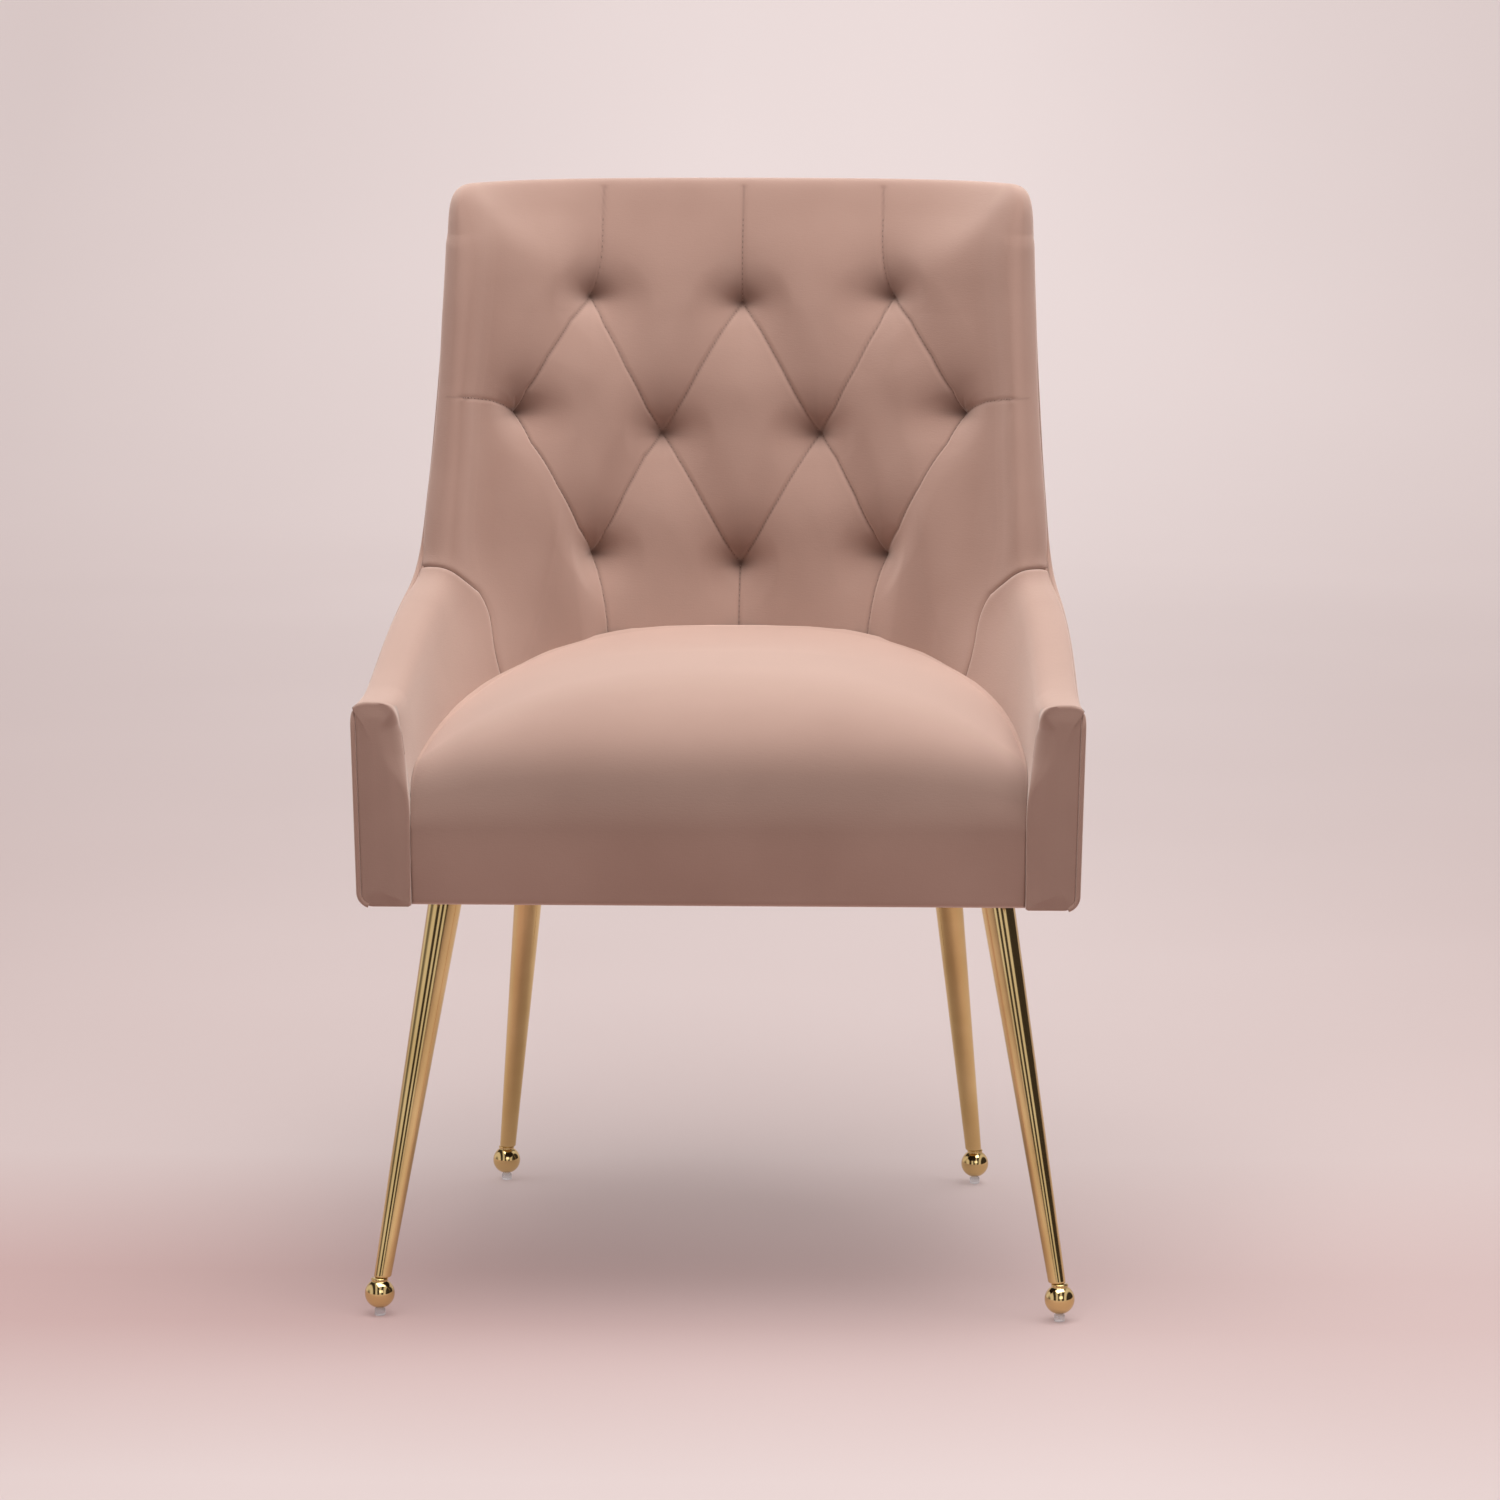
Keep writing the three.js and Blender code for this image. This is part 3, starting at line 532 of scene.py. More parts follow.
def seam_tuck(length, ends, depth=1.7, width=1.6):
    """How far a pad's surface turns in at its sewn ends."""
    return sum(depth * np.exp(-(np.abs(length - end) / width) ** 1.3) for end in ends)


def whole_back(half):
    """Lengths along the edge over the whole back, from those of its left half, and the sign of each side."""
    return np.concatenate([half, half[-2::-1]]), np.repeat([-1.0, 1.0], [len(half), len(half) - 1])


def ease(count, start, end, first, last=0.0):
    """Shares from start to end, with extra ones close to the ends for the turned-in seam."""
    inner = np.linspace(start + first, end - last, count)
    near = start + first * np.array([0, 0.12, 0.25, 0.45, 0.7])
    if not last:
        return np.concatenate([near, inner])
    return np.concatenate([near, inner, end - last * np.array([0.7, 0.45, 0.25, 0.12, 0])])


# ---- Materials ----
def set_ramp(ramp, positions, colors):
    for element, position, color in zip(ramp.elements, positions, colors):
        element.position = position
        element.color = (*color, 1)


class Nodes:
    """A material's node tree, with short calls to add and join nodes."""

    def __init__(self, name):
        self.material = bpy.data.materials.new(name)
        self.material.use_nodes = True
        self.tree = self.material.node_tree
        self.shader = self.tree.nodes["Principled BSDF"]
        self.place = self.add("ShaderNodeTexCoord").outputs["Object"]

    def add(self, kind, **values):
        node = self.tree.nodes.new(kind)
        for key, value in values.items():
            setattr(node, key, value)
        return node

    def put(self, socket, value):
        """Joins a socket to another or gives it a constant. A colour is given as three numbers."""
        if isinstance(value, bpy.types.NodeSocket):
            self.tree.links.new(value, socket)
        elif socket.type == "RGBA":
            socket.default_value = (*value, 1)
        else:
            socket.default_value = value

    def filled(self, node, **values):
        """A node with its inputs put, an underscore in a name standing for a space."""
        for key, value in values.items():
            self.put(node.inputs[key.replace("_", " ")], value)
        return node

    def stretched(self, scale):
        return self.filled(self.add("ShaderNodeMapping"), Vector=self.place, Scale=scale).outputs["Vector"]

    def noise(self, scale, detail=3.0, where=None):
        node = self.add("ShaderNodeTexNoise")
        return self.filled(node, Vector=where or self.place, Scale=scale, Detail=detail).outputs["Fac"]

    def wave(self, where, values, **settings):
        return self.filled(self.add("ShaderNodeTexWave", **settings), Vector=where, **values).outputs["Fac"]

    def cells(self, values, **settings):
        node = self.add("ShaderNodeTexVoronoi", **settings)
        return self.filled(node, Vector=self.place, **values).outputs["Distance"]

    def math(self, operation, *values):
        node = self.add("ShaderNodeMath", operation=operation)
        for socket, value in zip(node.inputs, values):
            self.put(socket, value)
        return node.outputs["Value"]

    def between(self, factor, low, high, from_range=(0.0, 1.0)):
        """A value or a colour that goes from low to high with the factor."""
        if isinstance(low, tuple):
            ramp = self.add("ShaderNodeValToRGB")
            set_ramp(ramp.color_ramp, from_range, (low, high))
            return self.filled(ramp, Fac=factor).outputs["Color"]
        node = self.filled(
            self.add("ShaderNodeMapRange"), Value=factor, From_Min=from_range[0], From_Max=from_range[1],
            To_Min=low, To_Max=high)
        return node.outputs["Result"]

    def blend(self, factor, a, b):
        node = self.add("ShaderNodeMix", data_type="RGBA")
        self.put(node.inputs["Factor"], factor)
        # The colour mix's own sockets share their names with those of the other kinds of mix.
        self.put(node.inputs[6], a)
        self.put(node.inputs[7], b)
        return node.outputs[2]

    def bump(self, height, strength, distance, normal=None):
        node = self.filled(self.add("ShaderNodeBump"), Height=height, Strength=strength, Distance=distance)
        if normal is not None:
            self.put(node.inputs["Normal"], normal)
        return node.outputs["Normal"]

    def finish(self, color, roughness, normal=None, **constants):
        self.filled(self.shader, Base_Color=color, Roughness=roughness, **constants)
        if normal is not None:
            self.put(self.shader.inputs["Normal"], normal)
        return self.material


def velvet(name, deep, light, painted_sheen=(0.86, 0.62, 0.53)):
    """Short-pile velvet: brushed patches, a fine pile and a painted sheen that lightens the colour where it
    is seen edge on.

    The cloth's "shade" values, 0 where a mesh has none, say how much painted shade darkens the colour.
    """
    n = Nodes(name)
    brushed = n.noise(7.0, 3.0)
    tone = n.between(brushed, deep, light, (0.3, 0.72))
    pile = n.noise(520.0, 2.0)
    speckled = n.blend(n.between(pile, 0.0, 0.2), tone, light)
    # Painted sheen: the colour is lifted towards a lighter tone where the surface is seen edge on.
    rim = n.add("ShaderNodeLayerWeight")
    rim.inputs["Blend"].default_value = 0.3
    with_painted_sheen = n.blend(n.between(rim.outputs["Facing"], 0.0, 0.64, (0.12, 0.9)), speckled, painted_sheen)
    # Painted shade: the mesh's shade values darken the colour towards a deep tone.
    shade = n.add("ShaderNodeAttribute", attribute_name="shade")
    color = n.blend(n.between(shade.outputs["Fac"], 0.0, 1.0), with_painted_sheen, tuple(0.22 * k for k in deep))
    threads = n.noise(1.0, 2.0, n.stretched((160.0, 160.0, 900.0)))
    normal = n.bump(n.noise(900.0, 3.0), 0.2, 0.0006, n.bump(threads, 0.16, 0.0006))
    return n.finish(
        color, n.between(brushed, 0.78, 0.9), normal, Sheen_Weight=0.5, Sheen_Roughness=0.38,
        Sheen_Tint=(1.0, 0.88, 0.80), Specular_IOR_Level=0.2)


def gold(name):
    """Polished plating, with the faint unevenness of a buffed tube."""
    n = Nodes(name)
    cloudy = n.noise(14.0, 3.0)
    fine = n.noise(1.0, 3.0, n.stretched((260.0, 260.0, 12.0)))
    color = n.between(cloudy, (0.63, 0.45, 0.19), (0.77, 0.58, 0.28), (0.3, 0.7))
    return n.finish(
        color, n.between(fine, 0.07, 0.13), n.bump(fine, 0.02, 0.0003), Metallic=1.0, Coat_Weight=0.15,
        Coat_Roughness=0.08)


def timber(name):
    n = Nodes(name)
    rings = n.wave(
        n.stretched((1.5, 9.0, 9.0)), {"Scale": 3.0, "Distortion": 4.5, "Detail": 3.0, "Detail_Scale": 1.6},
        wave_type="RINGS", rings_direction="X")
    grain = n.noise(1.0, 4.0, n.stretched((14.0, 380.0, 380.0)))
    color = n.blend(
        n.between(grain, 0.0, 0.5), n.between(rings, (0.33, 0.18, 0.075), (0.56, 0.35, 0.17)),
        (0.24, 0.13, 0.055))
    return n.finish(color, n.between(grain, 0.55, 0.8), n.bump(grain, 0.3, 0.0005), Specular_IOR_Level=0.35)


def foam(name):
    n = Nodes(name)
    color = n.between(n.noise(12.0), (0.74, 0.66, 0.46), (0.84, 0.78, 0.60), (0.3, 0.7))
    return n.finish(color, 0.95, n.bump(n.cells({"Scale": 420.0}), 0.6, 0.0012), Specular_IOR_Level=0.1)


def woven(name, dark, light, pitch):
    """A plain weave: two crossed bands of yarn."""
    n = Nodes(name)
    values = {"Scale": pitch, "Distortion": 0.6, "Detail": 1.0}
    yarn = n.math("MULTIPLY", *(n.wave(n.place, values, bands_direction=way) for way in ("X", "Z")))
    return n.finish(n.between(yarn, dark, light), 0.85, n.bump(yarn, 0.5, 0.0008), Specular_IOR_Level=0.2)


def felted(name):
    """Non-woven cloth: pressed fibres with a small square emboss."""
    n = Nodes(name)
    fibres = n.noise(1.0, 5.0, n.stretched((420.0, 900.0, 420.0)))
    dots = n.cells({"Scale": 380.0, "Randomness": 0.12}, distance="CHEBYCHEV")
    color = n.between(fibres, (0.008, 0.0075, 0.0075), (0.03, 0.028, 0.028), (0.3, 0.75))
    normal = n.bump(dots, 0.4, 0.0006, n.bump(fibres, 0.4, 0.0004))
    return n.finish(color, n.between(fibres, 0.8, 0.95), normal, Specular_IOR_Level=0.25)


def zinc(name):
    n = Nodes(name)
    brushed = n.noise(1.0, 3.0, n.stretched((900.0, 60.0, 60.0)))
    color = n.between(n.cells({"Scale": 180.0}), (0.42, 0.42, 0.43), (0.62, 0.62, 0.61), (0.0, 0.6))
    return n.finish(color, n.between(brushed, 0.28, 0.45), n.bump(brushed, 0.1, 0.0003), Metallic=1.0)


def clear_plastic(name):
    n = Nodes(name)
    haze = n.noise(240.0, 2.0)
    return n.finish(
        n.between(haze, (0.80, 0.84, 0.86), (0.90, 0.93, 0.95), (0.35, 0.65)), n.between(haze, 0.12, 0.24),
        n.bump(haze, 0.05, 0.0004), Transmission_Weight=0.75, IOR=1.49)


VELVET = velvet("velvet", (0.32, 0.194, 0.154), (0.376, 0.238, 0.192))
THREAD = velvet("velvet_thread", (0.11, 0.062, 0.048), (0.19, 0.11, 0.085))
GOLD = gold("polished_gold")
WOOD = timber("frame_timber")
FOAM = foam("seat_foam_cells")
WEBBING = woven("elastic_webbing", (0.10, 0.06, 0.035), (0.24, 0.16, 0.10), 220.0)
DUST_CLOTH = felted("dust_cloth")
ZINC = zinc("zinc_plate")
CLEAR = clear_plastic("clear_nylon")

# Materials of the carried-over CAD nodes by a word in their names; the covers are velvet.
CAD_LOOKS = {
    "foam": FOAM, "webbing": WEBBING, "spring": ZINC, "leg_plate": ZINC, "screw": ZINC, "glide": CLEAR,
    "rail": WOOD, "post": WOOD, "block": WOOD, "arm_frame": WOOD, "dust": DUST_CLOTH, "leg_": GOLD,
    "ball_foot": GOLD,
}
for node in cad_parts.values():
    look = next((material for word, material in CAD_LOOKS.items() if word in node.name), VELVET)
    node.data.materials.clear()
    node.data.materials.append(look)


# ---- Camera ----
CAMERA_PLACE = (160.4, -3847.5, 1047.7)
CAMERA_YAW, CAMERA_PITCH = -2.007, 8.658


def make_camera():
    data = bpy.data.cameras.new("photo_view")
    data.sensor_width = 36.0
    data.lens = 120.0
    camera = placed_object("photo_view", data)
    x, y, z = CAMERA_PLACE
    camera.location = Vector((x, FRONT_Y + y, z)) * MM
    yaw, pitch = math.radians(CAMERA_YAW), math.radians(CAMERA_PITCH)
    ahead = Vector((math.sin(yaw) * math.cos(pitch), math.cos(yaw) * math.cos(pitch), -math.sin(pitch)))
    camera.rotation_euler = ahead.to_track_quat("-Z", "Y").to_euler()
    bpy.context.scene.camera = camera


make_camera()


# ---- Back and arm pads ----
BACK_COLUMNS = 360
FACE_ROWS = 290
SEAM_GAP = 0.3


def make_back():
    start = edge_length_at(ARM_SEAM + SEAM_GAP)
    length, side = whole_back(ease(BACK_COLUMNS, start, EDGE_LENGTH[-1], 12.0))
    tuck = seam_tuck(length, [start])
    return pad(
        "inside_back_pad", side, length, FACE_ROWS, ["inside_back_cover", "inside_back_foam"], relief, tuck)


FACING_CORNER = (2.0, 17.0)  # rounding of the arm front along its seam, and down its soft inner side
PRESSED_CORNER = 3.0  # its inner side where the seat presses against it
PRESSED_TO, SOFT_FROM = 424.0, 458.0  # heights between which the one goes over into the other
FACING_OUTER = 2.4
FACING_SPINE = (352.0, 468.0)  # the arm's front is drawn towards this upright line, at SPINE_DEPTH
SPINE_DEPTH = 18.0
FOOT_ROUND = 9.0
PANEL_ROUND = FOOT_ROUND + FACING_OUTER
FACING_CROWN = 1.6
FRONT_REACH = 70.0  # how far behind the arm's front its columns are pressed back


def front_rounding(turn, drop, z):
    """Radius of the arm front's corner at a turn of the roll, a drop from its top and a height."""
    soft = mix(PRESSED_CORNER, FACING_CORNER[1], smooth((z - PRESSED_TO) / (SOFT_FROM - PRESSED_TO)))
    return mix(FACING_CORNER[0], soft, smooth((drop - 2) / 24) * (np.asarray(turn) > 100))


def make_arm(sign, name):
    """The arm's inside and roll, whose front end stops where the rounded facing begins."""
    last = edge_length_at(ARM_SEAM - SEAM_GAP)
    length = ease(90, edge_length_at(0.5), last, 10.0, 10.0)
    turns = np.concatenate([ROLL_TURNS, np.full(70, 180.0)])

    def no_pull(c, _):
        return np.zeros(np.shape(c))

    def pulled_back(points):
        # Press the front columns back to the facing's rounded edge, more on the soft inner side.
        rows = len(turns)
        heights = points[:rows, :, 2]
        rounding = front_rounding(turns[:, None], heights.max(axis=0) - heights, heights)
        y = points[:rows, :, 1]
        fresh = rounding + FACING_CROWN + y * (1 - (rounding + FACING_CROWN) / FRONT_REACH)
        points[:rows, :, 1] = np.where(y < FRONT_REACH, fresh, y)
        points[rows:, :, 1] = np.maximum(points[rows:, :, 1], FACING_CORNER[1] + FACING_CROWN)
        return points

    return pad(
        f"inside_arm_pad_{name}", sign, length, 70,
        [f"inside_arm_cover_{name}", f"inside_arm_foam_{name}"], no_pull, seam_tuck(length, [last]),
        pulled_back)


def quarter(distance, radius):
    """How far a rounded corner has fallen back at a distance from its side."""
    short = np.clip(radius - distance, 0, radius)
    return radius - np.sqrt(radius**2 - short**2)


def facing_outline():
    """The arm's front seen from the front, as (depth from the outside, height, is it the inner side)."""
    outer = [(FACING_OUTER, z, False)
             for z in np.linspace(SHELL_BOTTOM + PANEL_ROUND, ARM_TOP - PIPING_DROP, 60)]
    arc = []
    for turn in np.linspace(16, 178, 80):
        depth, drop = roll_point(turn)
        arc.append((depth, ARM_TOP - drop, turn > 100))
    inner = [(float(wall_at(0, z)), z, True)
             for z in np.linspace(ARM_TOP - ROLL_IN[1] - 2, SHELL_BOTTOM + 1, 70)]
    wide = inner[-1][0]
    bottom = [(mix(wide, PANEL_ROUND, k), SHELL_BOTTOM, False) for k in np.linspace(0, 1, 18)[1:-1]]
    corner = [(PANEL_ROUND - FOOT_ROUND * math.sin(a), SHELL_BOTTOM + FOOT_ROUND * (1 - math.cos(a)), False)
              for a in np.linspace(0, math.pi / 2, 10)[:-1]]
    return [np.array([row[i] for row in outer + arc + inner + bottom + corner]) for i in range(3)]


def make_facing(sign, name):
    """The arm's front: seamed along its top and its outer side, rolled softly into the arm's inside."""
    depth, z, inner = facing_outline()
    side_z, side_depth = z[inner][::-1], depth[inner][::-1]
    spine_z = np.clip(z, *FACING_SPINE)
    far = np.hypot(depth - SPINE_DEPTH, z - spine_z)

    def placed(p, depths, heights):
        # Depths are shares of the wall's thickness, which grows a little behind the front.
        share = wall_at(p, heights) / wall_at(np.zeros(len(z)), heights)
        return in_wall(sign * (HALF_WALK - p), heights, depths * share)

    behind = FACING_CORNER[1] + 1.0
    back_ring = placed(np.full(len(z), behind), depth, z)
    rows = [mix(back_ring, in_wall(sign * (HALF_WALK - behind), spine_z, SPINE_DEPTH), 0.25), back_ring]
    for k in np.linspace(0, 1, 40) ** 1.5:
        depths, heights = mix(depth, SPINE_DEPTH, k), mix(z, spine_z, k)
        to_inner = np.maximum(0, np.interp(heights, side_z, side_depth) - depths)
        fallen = quarter(to_inner, front_rounding(180, ARM_TOP - heights, heights))
        fallen = np.maximum(fallen, np.where(inner, 0, quarter(k * far, FACING_CORNER[0])))
        fallen = fallen + FACING_CROWN * (1 - smooth(k * far / 14) * smooth(to_inner / 14))
        rows.append(placed(fallen, depths, heights))
    points = np.stack(rows)
    count, columns = points.shape[:2]
    faces = grid_faces(count, columns, wrap_columns=True)
    faces.append(list(range(columns))[::-1])
    # Painted shade: the arm's front is darkened evenly by its shade values of 0.08.
    velvet_piece(
        f"arm_front_{name}", points, faces, [f"arm_facing_{name}"], merge=0.02,
        shade=np.full(points.shape[:2], 0.08))


WELT_FRONT, WELT_DEPTH = 2.5, 0.5  # its middle, behind the arm's front and in from the outside
WELT_TURN = 479.0  # height at which it leaves the front corner for the top of the arm


def make_welt(sign, name):
    """The welt along the edge, down the front corner of the arm and up over the wing."""
    length = np.linspace(edge_length_at(9), EDGE_LENGTH[-1], 420)
    along = np.stack(below_edge(length, PIPING_DROP), -1)
    bend = PANEL_ROUND - WELT_DEPTH
    foot = [(WELT_FRONT, SHELL_BOTTOM + PANEL_ROUND - bend * math.sin(a), PANEL_ROUND - bend * math.cos(a))
            for a in np.linspace(1.25, 0.1, 12)]
    down = [(WELT_FRONT, z, WELT_DEPTH) for z in np.linspace(SHELL_BOTTOM + PANEL_ROUND, WELT_TURN, 60)]
    turn = [(mix(WELT_FRONT, along[0, 0], 1 - math.cos(a)), mix(WELT_TURN, along[0, 1], math.sin(a)),
             WELT_DEPTH) for a in np.linspace(0.1, math.pi / 2 - 0.1, 7)]
    line = np.concatenate([foot, down, turn, np.column_stack([along, np.full(len(along), WELT_DEPTH)])])
    path = in_wall(sign * (HALF_WALK - np.clip(line[:, 0], 0, HALF_WALK - 0.3)), line[:, 1], line[:, 2])
    velvet_piece(f"edge_welt_{name}", *tube(path, PIPING_RADIUS, 12), [f"edge_piping_{name}"])


# ---- Outside ----
PANEL_TOP = PIPING_DROP + PIPING_RADIUS - 0.6
PANEL_CROWN = 1.6
SIDES = {"left": -1, "right": 1}


def outside_panel(name, side, length, replaced, end_tuck):
    """Velvet over board: a thin shell with soft edges that turns under at the bottom."""
    edge_p, edge_z = below_edge(length, PANEL_TOP)
    face_p, face_z = below_edge(length, ROLL_REACH)
    edge_p, face_p = np.clip([edge_p, face_p], 0, HALF_WALK)
    foot_z = SHELL_BOTTOM + PANEL_ROUND
    rows = []

    def row(p, z, depth):
        rows.append(in_wall(side * (HALF_WALK - p), z, depth))

    row(edge_p, edge_z, BOARD)
    for k, depth in ((0.0, 1.6), (0.04, 0.7), (0.1, 0.25), (0.3, 0.05), (0.6, 0.0)):
        row(mix(edge_p, face_p, k), mix(edge_z, face_z, k), depth + end_tuck)
    for k in np.linspace(0, 1, 60):
        row(face_p, mix(face_z, foot_z, k), end_tuck - PANEL_CROWN * math.sin(math.pi * k) * smooth(k * 4))
    for angle in np.linspace(0.15, 1, 10) * math.pi / 2:
        row(face_p, SHELL_BOTTOM + PANEL_ROUND * (1 - math.sin(angle)),
            end_tuck + PANEL_ROUND * (1 - math.cos(angle)))
    row(face_p, SHELL_BOTTOM + 0.4, PANEL_ROUND + 2.0)
    row(face_p, foot_z + 2, BOARD)
    for k in (0.75, 0.5, 0.25, 0.0):
        row(face_p, mix(face_z, foot_z, k), BOARD)
    points = np.stack(rows)
    velvet_piece(name, points, shell_faces(points), replaced)


def make_outside():
    seam = edge_length_at(BACK_SEAM)
    for name, sign in SIDES.items():
        length = ease(150, edge_length_at(4.6), seam - 0.2, 8.0, 8.0)
        tuck = seam_tuck(length, [length[0], seam], 1.8, 2.0)
        outside_panel(f"outside_arm_{name}", sign, length, [f"outside_arm_panel_{name}"], tuck)
    length, side = whole_back(ease(150, seam + 0.2, EDGE_LENGTH[-1], 8.0))
    outside_panel("outside_back", side, length, ["outside_back_panel"], seam_tuck(length, [seam], 1.8, 2.0))


# ---- Seat ----
SEAT_BOTTOM = 335.4
NOSE_HEIGHT = 396.0  # where the rolled front of the seat stands furthest forward
NOSE_DEPTH = (70.0, 175.0)  # how far back the roll of the front goes, beside the arms and in the middle
NOSE_SQUARE = 2.1
NOSE_BULGE = 2.2
FOOT_TUCK = 4.0
FOOT_ROLL = 5.0
SEAT_COLUMNS = 640
FRONT_COLUMNS = 220
SEAT_CENTRE = np.array([0.0, 250.0])
SEAT_HIDDEN = PAD_BOTTOM - 14  # bottom of the seat's sides, out of sight beside the arms


def seat_height(x, y):
    """Height of the seat's top: crowned, lower towards arms and back, rolled over at the front."""
    half, depth, square = inside_plan(SEAT_LEVEL)
    out = np.clip((np.abs(x) / half) ** square + (y / depth) ** square, 0, 1) ** (1 / square)
    seam = mix(*SEAT_RIM, np.clip(y / depth, 0, 1) ** 1.5)
    low, high, back = SEAT_CROWN
    middle = mix(high, np.where(y > 300, back, low), (np.abs(y - 300) / 200) ** 1.6)
    top = mix(middle, seam, out ** 3.0)
    depth_here = mix(NOSE_DEPTH[1], NOSE_DEPTH[0], (np.abs(x) / half) ** 2.5)
    k = np.clip((SEAT_FRONT + depth_here - y) / depth_here, 0, 1)
    return NOSE_HEIGHT + (top - NOSE_HEIGHT) * (1 - k ** NOSE_SQUARE) ** (1 / NOSE_SQUARE)


def make_seat():
    """A tight seat: crowned top that rolls over the front in one piece, pressed against arms and back."""
    around = np.linspace(HALF_WALK - SEAT_FRONT, SEAT_FRONT - HALF_WALK, SEAT_COLUMNS)

    def arms_and_back(z):
        return in_wall(around, z, -SEAT_CLEARANCE, from_inside=True)

    def closed(ring):
        share = np.linspace(0, 1, FRONT_COLUMNS + 2)[1:-1, None]
        return np.concatenate([ring, mix(ring[-1], ring[0], share)])

    # How far a column belongs to the front face: 1 on it, and falling off along the arms just behind it.
    front = smooth((26 - (HALF_WALK - np.abs(around))) / 12)
    is_front = np.concatenate([front, np.ones(FRONT_COLUMNS)])
    rim = arms_and_back(SEAT_LEVEL - 20)
    for _ in range(3):
        rim = arms_and_back(seat_height(rim[:, 0], rim[:, 1]))
    rim = closed(rim)
    rows = []
    for share in 1 - np.linspace(1, 0, 170) ** 2.4:
        xy = SEAT_CENTRE + (rim[:, :2] - SEAT_CENTRE) * share
        rows.append(np.column_stack([xy, seat_height(xy[:, 0], xy[:, 1])]))
    last_top = rows[-1]
    low = mix(SEAT_HIDDEN, SEAT_BOTTOM + FOOT_ROLL, is_front)
    for k in np.arange(1, 41) / 40:
        height = mix(last_top[:, 2], low, k)
        ring = closed(arms_and_back(height[:SEAT_COLUMNS]))
        ring[SEAT_COLUMNS:, :2] = last_top[SEAT_COLUMNS:, :2]
        ring[:, 2] = height
        ring[:, 1] += FOOT_TUCK * k**2 * is_front
        rows.append(ring)
    foot = rows[-1]
    inward_x = -np.sign(foot[:, 0]) * (np.arange(len(foot)) < SEAT_COLUMNS)
    for angle in np.linspace(0.25, 1, 5) * math.pi / 2:
        ring = foot.copy()
        ring[:, 2] -= FOOT_ROLL * math.sin(angle) * is_front
        ring[:, 1] += FOOT_ROLL * (1 - math.cos(angle)) * is_front
        rows.append(ring)
    for height in (SEAT_BOTTOM, SEAT_HIDDEN):
        ring = rows[-1].copy()
        ring[:, 0] += 0.5 * SEAT_LIP * inward_x * is_front
        ring[:, 1] += 0.3 * SEAT_LIP * is_front
        ring[:, 2] = mix(ring[:, 2], height, is_front)
        rows.append(ring)
    points = np.stack(rows)
    bulge = NOSE_BULGE * np.clip(1 - (points[..., 0] / 243) ** 4, 0, 1)
    forward = np.exp(-(((points[..., 2] - NOSE_HEIGHT) / 42) ** 2)) * smooth((40 - points[..., 1]) / 36)
    points[..., 1] -= bulge * forward
    # Painted shade: a dark band over the rolled front of the seat around height 430, fading above and below
    # it and towards the back.
    painted_nose_shade = np.exp(-(((points[..., 2] - 430) / 30) ** 2)) * smooth((100 - points[..., 1]) / 80)
    count, columns = points.shape[:2]
    faces = grid_faces(count, columns, wrap_columns=True)
    faces.append(list(range((count - 1) * columns, count * columns))[::-1])
    piece = velvet_piece(
        "seat_pad", points, faces, ["seat_cover", "seat_foam"], merge=0.005, shade=0.4 * painted_nose_shade)


# ---- Stitches ----
STITCH_PITCH = 4.4
STITCH_LENGTH = 2.9
STITCH_RADIUS = 0.45


def stitch_run(line):
    """End, middle and end of every stitch along a line of (c, z) points on the inside of the back."""
    line = np.array(line, float)
    lengths = lengths_along(line)
    places = np.arange(3.5, lengths[-1] - 3, STITCH_PITCH)
    ends = []
    for offset in (-STITCH_LENGTH / 2, 0, STITCH_LENGTH / 2):
        c, z = (np.interp(places + offset, lengths, line[:, i]) for i in (0, 1))
        sunk = 0.35 if offset else -0.15
        ends.append(in_wall(c, z, relief(c, z) + sunk, from_inside=True))
    return np.stack(ends, 1)


def make_stitches():
    # A crest's stitches stop on the front of the roll, short of the end of its seam.
    runs = [stitch_run(line) for kind, line in SEAMS if kind not in ("crest", "fold")]
    runs += [stitch_run([line[0], (mix(line[0][0], line[1][0], 0.74), 848)])
             for kind, line in SEAMS if kind == "crest"]
    radius = STITCH_RADIUS * np.array([0.45, 1.0, 1.0, 1.0, 0.45])
    points, faces, start = [], [], 0
    for path in np.concatenate(runs):
        first, middle, last = path
        fine = [first, (first + middle) / 2, middle, (middle + last) / 2, last]
        tube_points, tube_faces = tube(fine, radius, 6)
        points.append(tube_points)
        faces += [[start + k for k in face] for face in tube_faces]
        start += len(tube_points)
    mesh_piece("tufting_stitches", np.concatenate(points), faces, THREAD, "velvet")


# ---- Underside ----
DUST_THICK = 0.35
DUST_GRID = 10.0
LEG_HOLE = 16.5
LEG_TOPS = [(219.0, 70.0), (176.0, 420.0)]


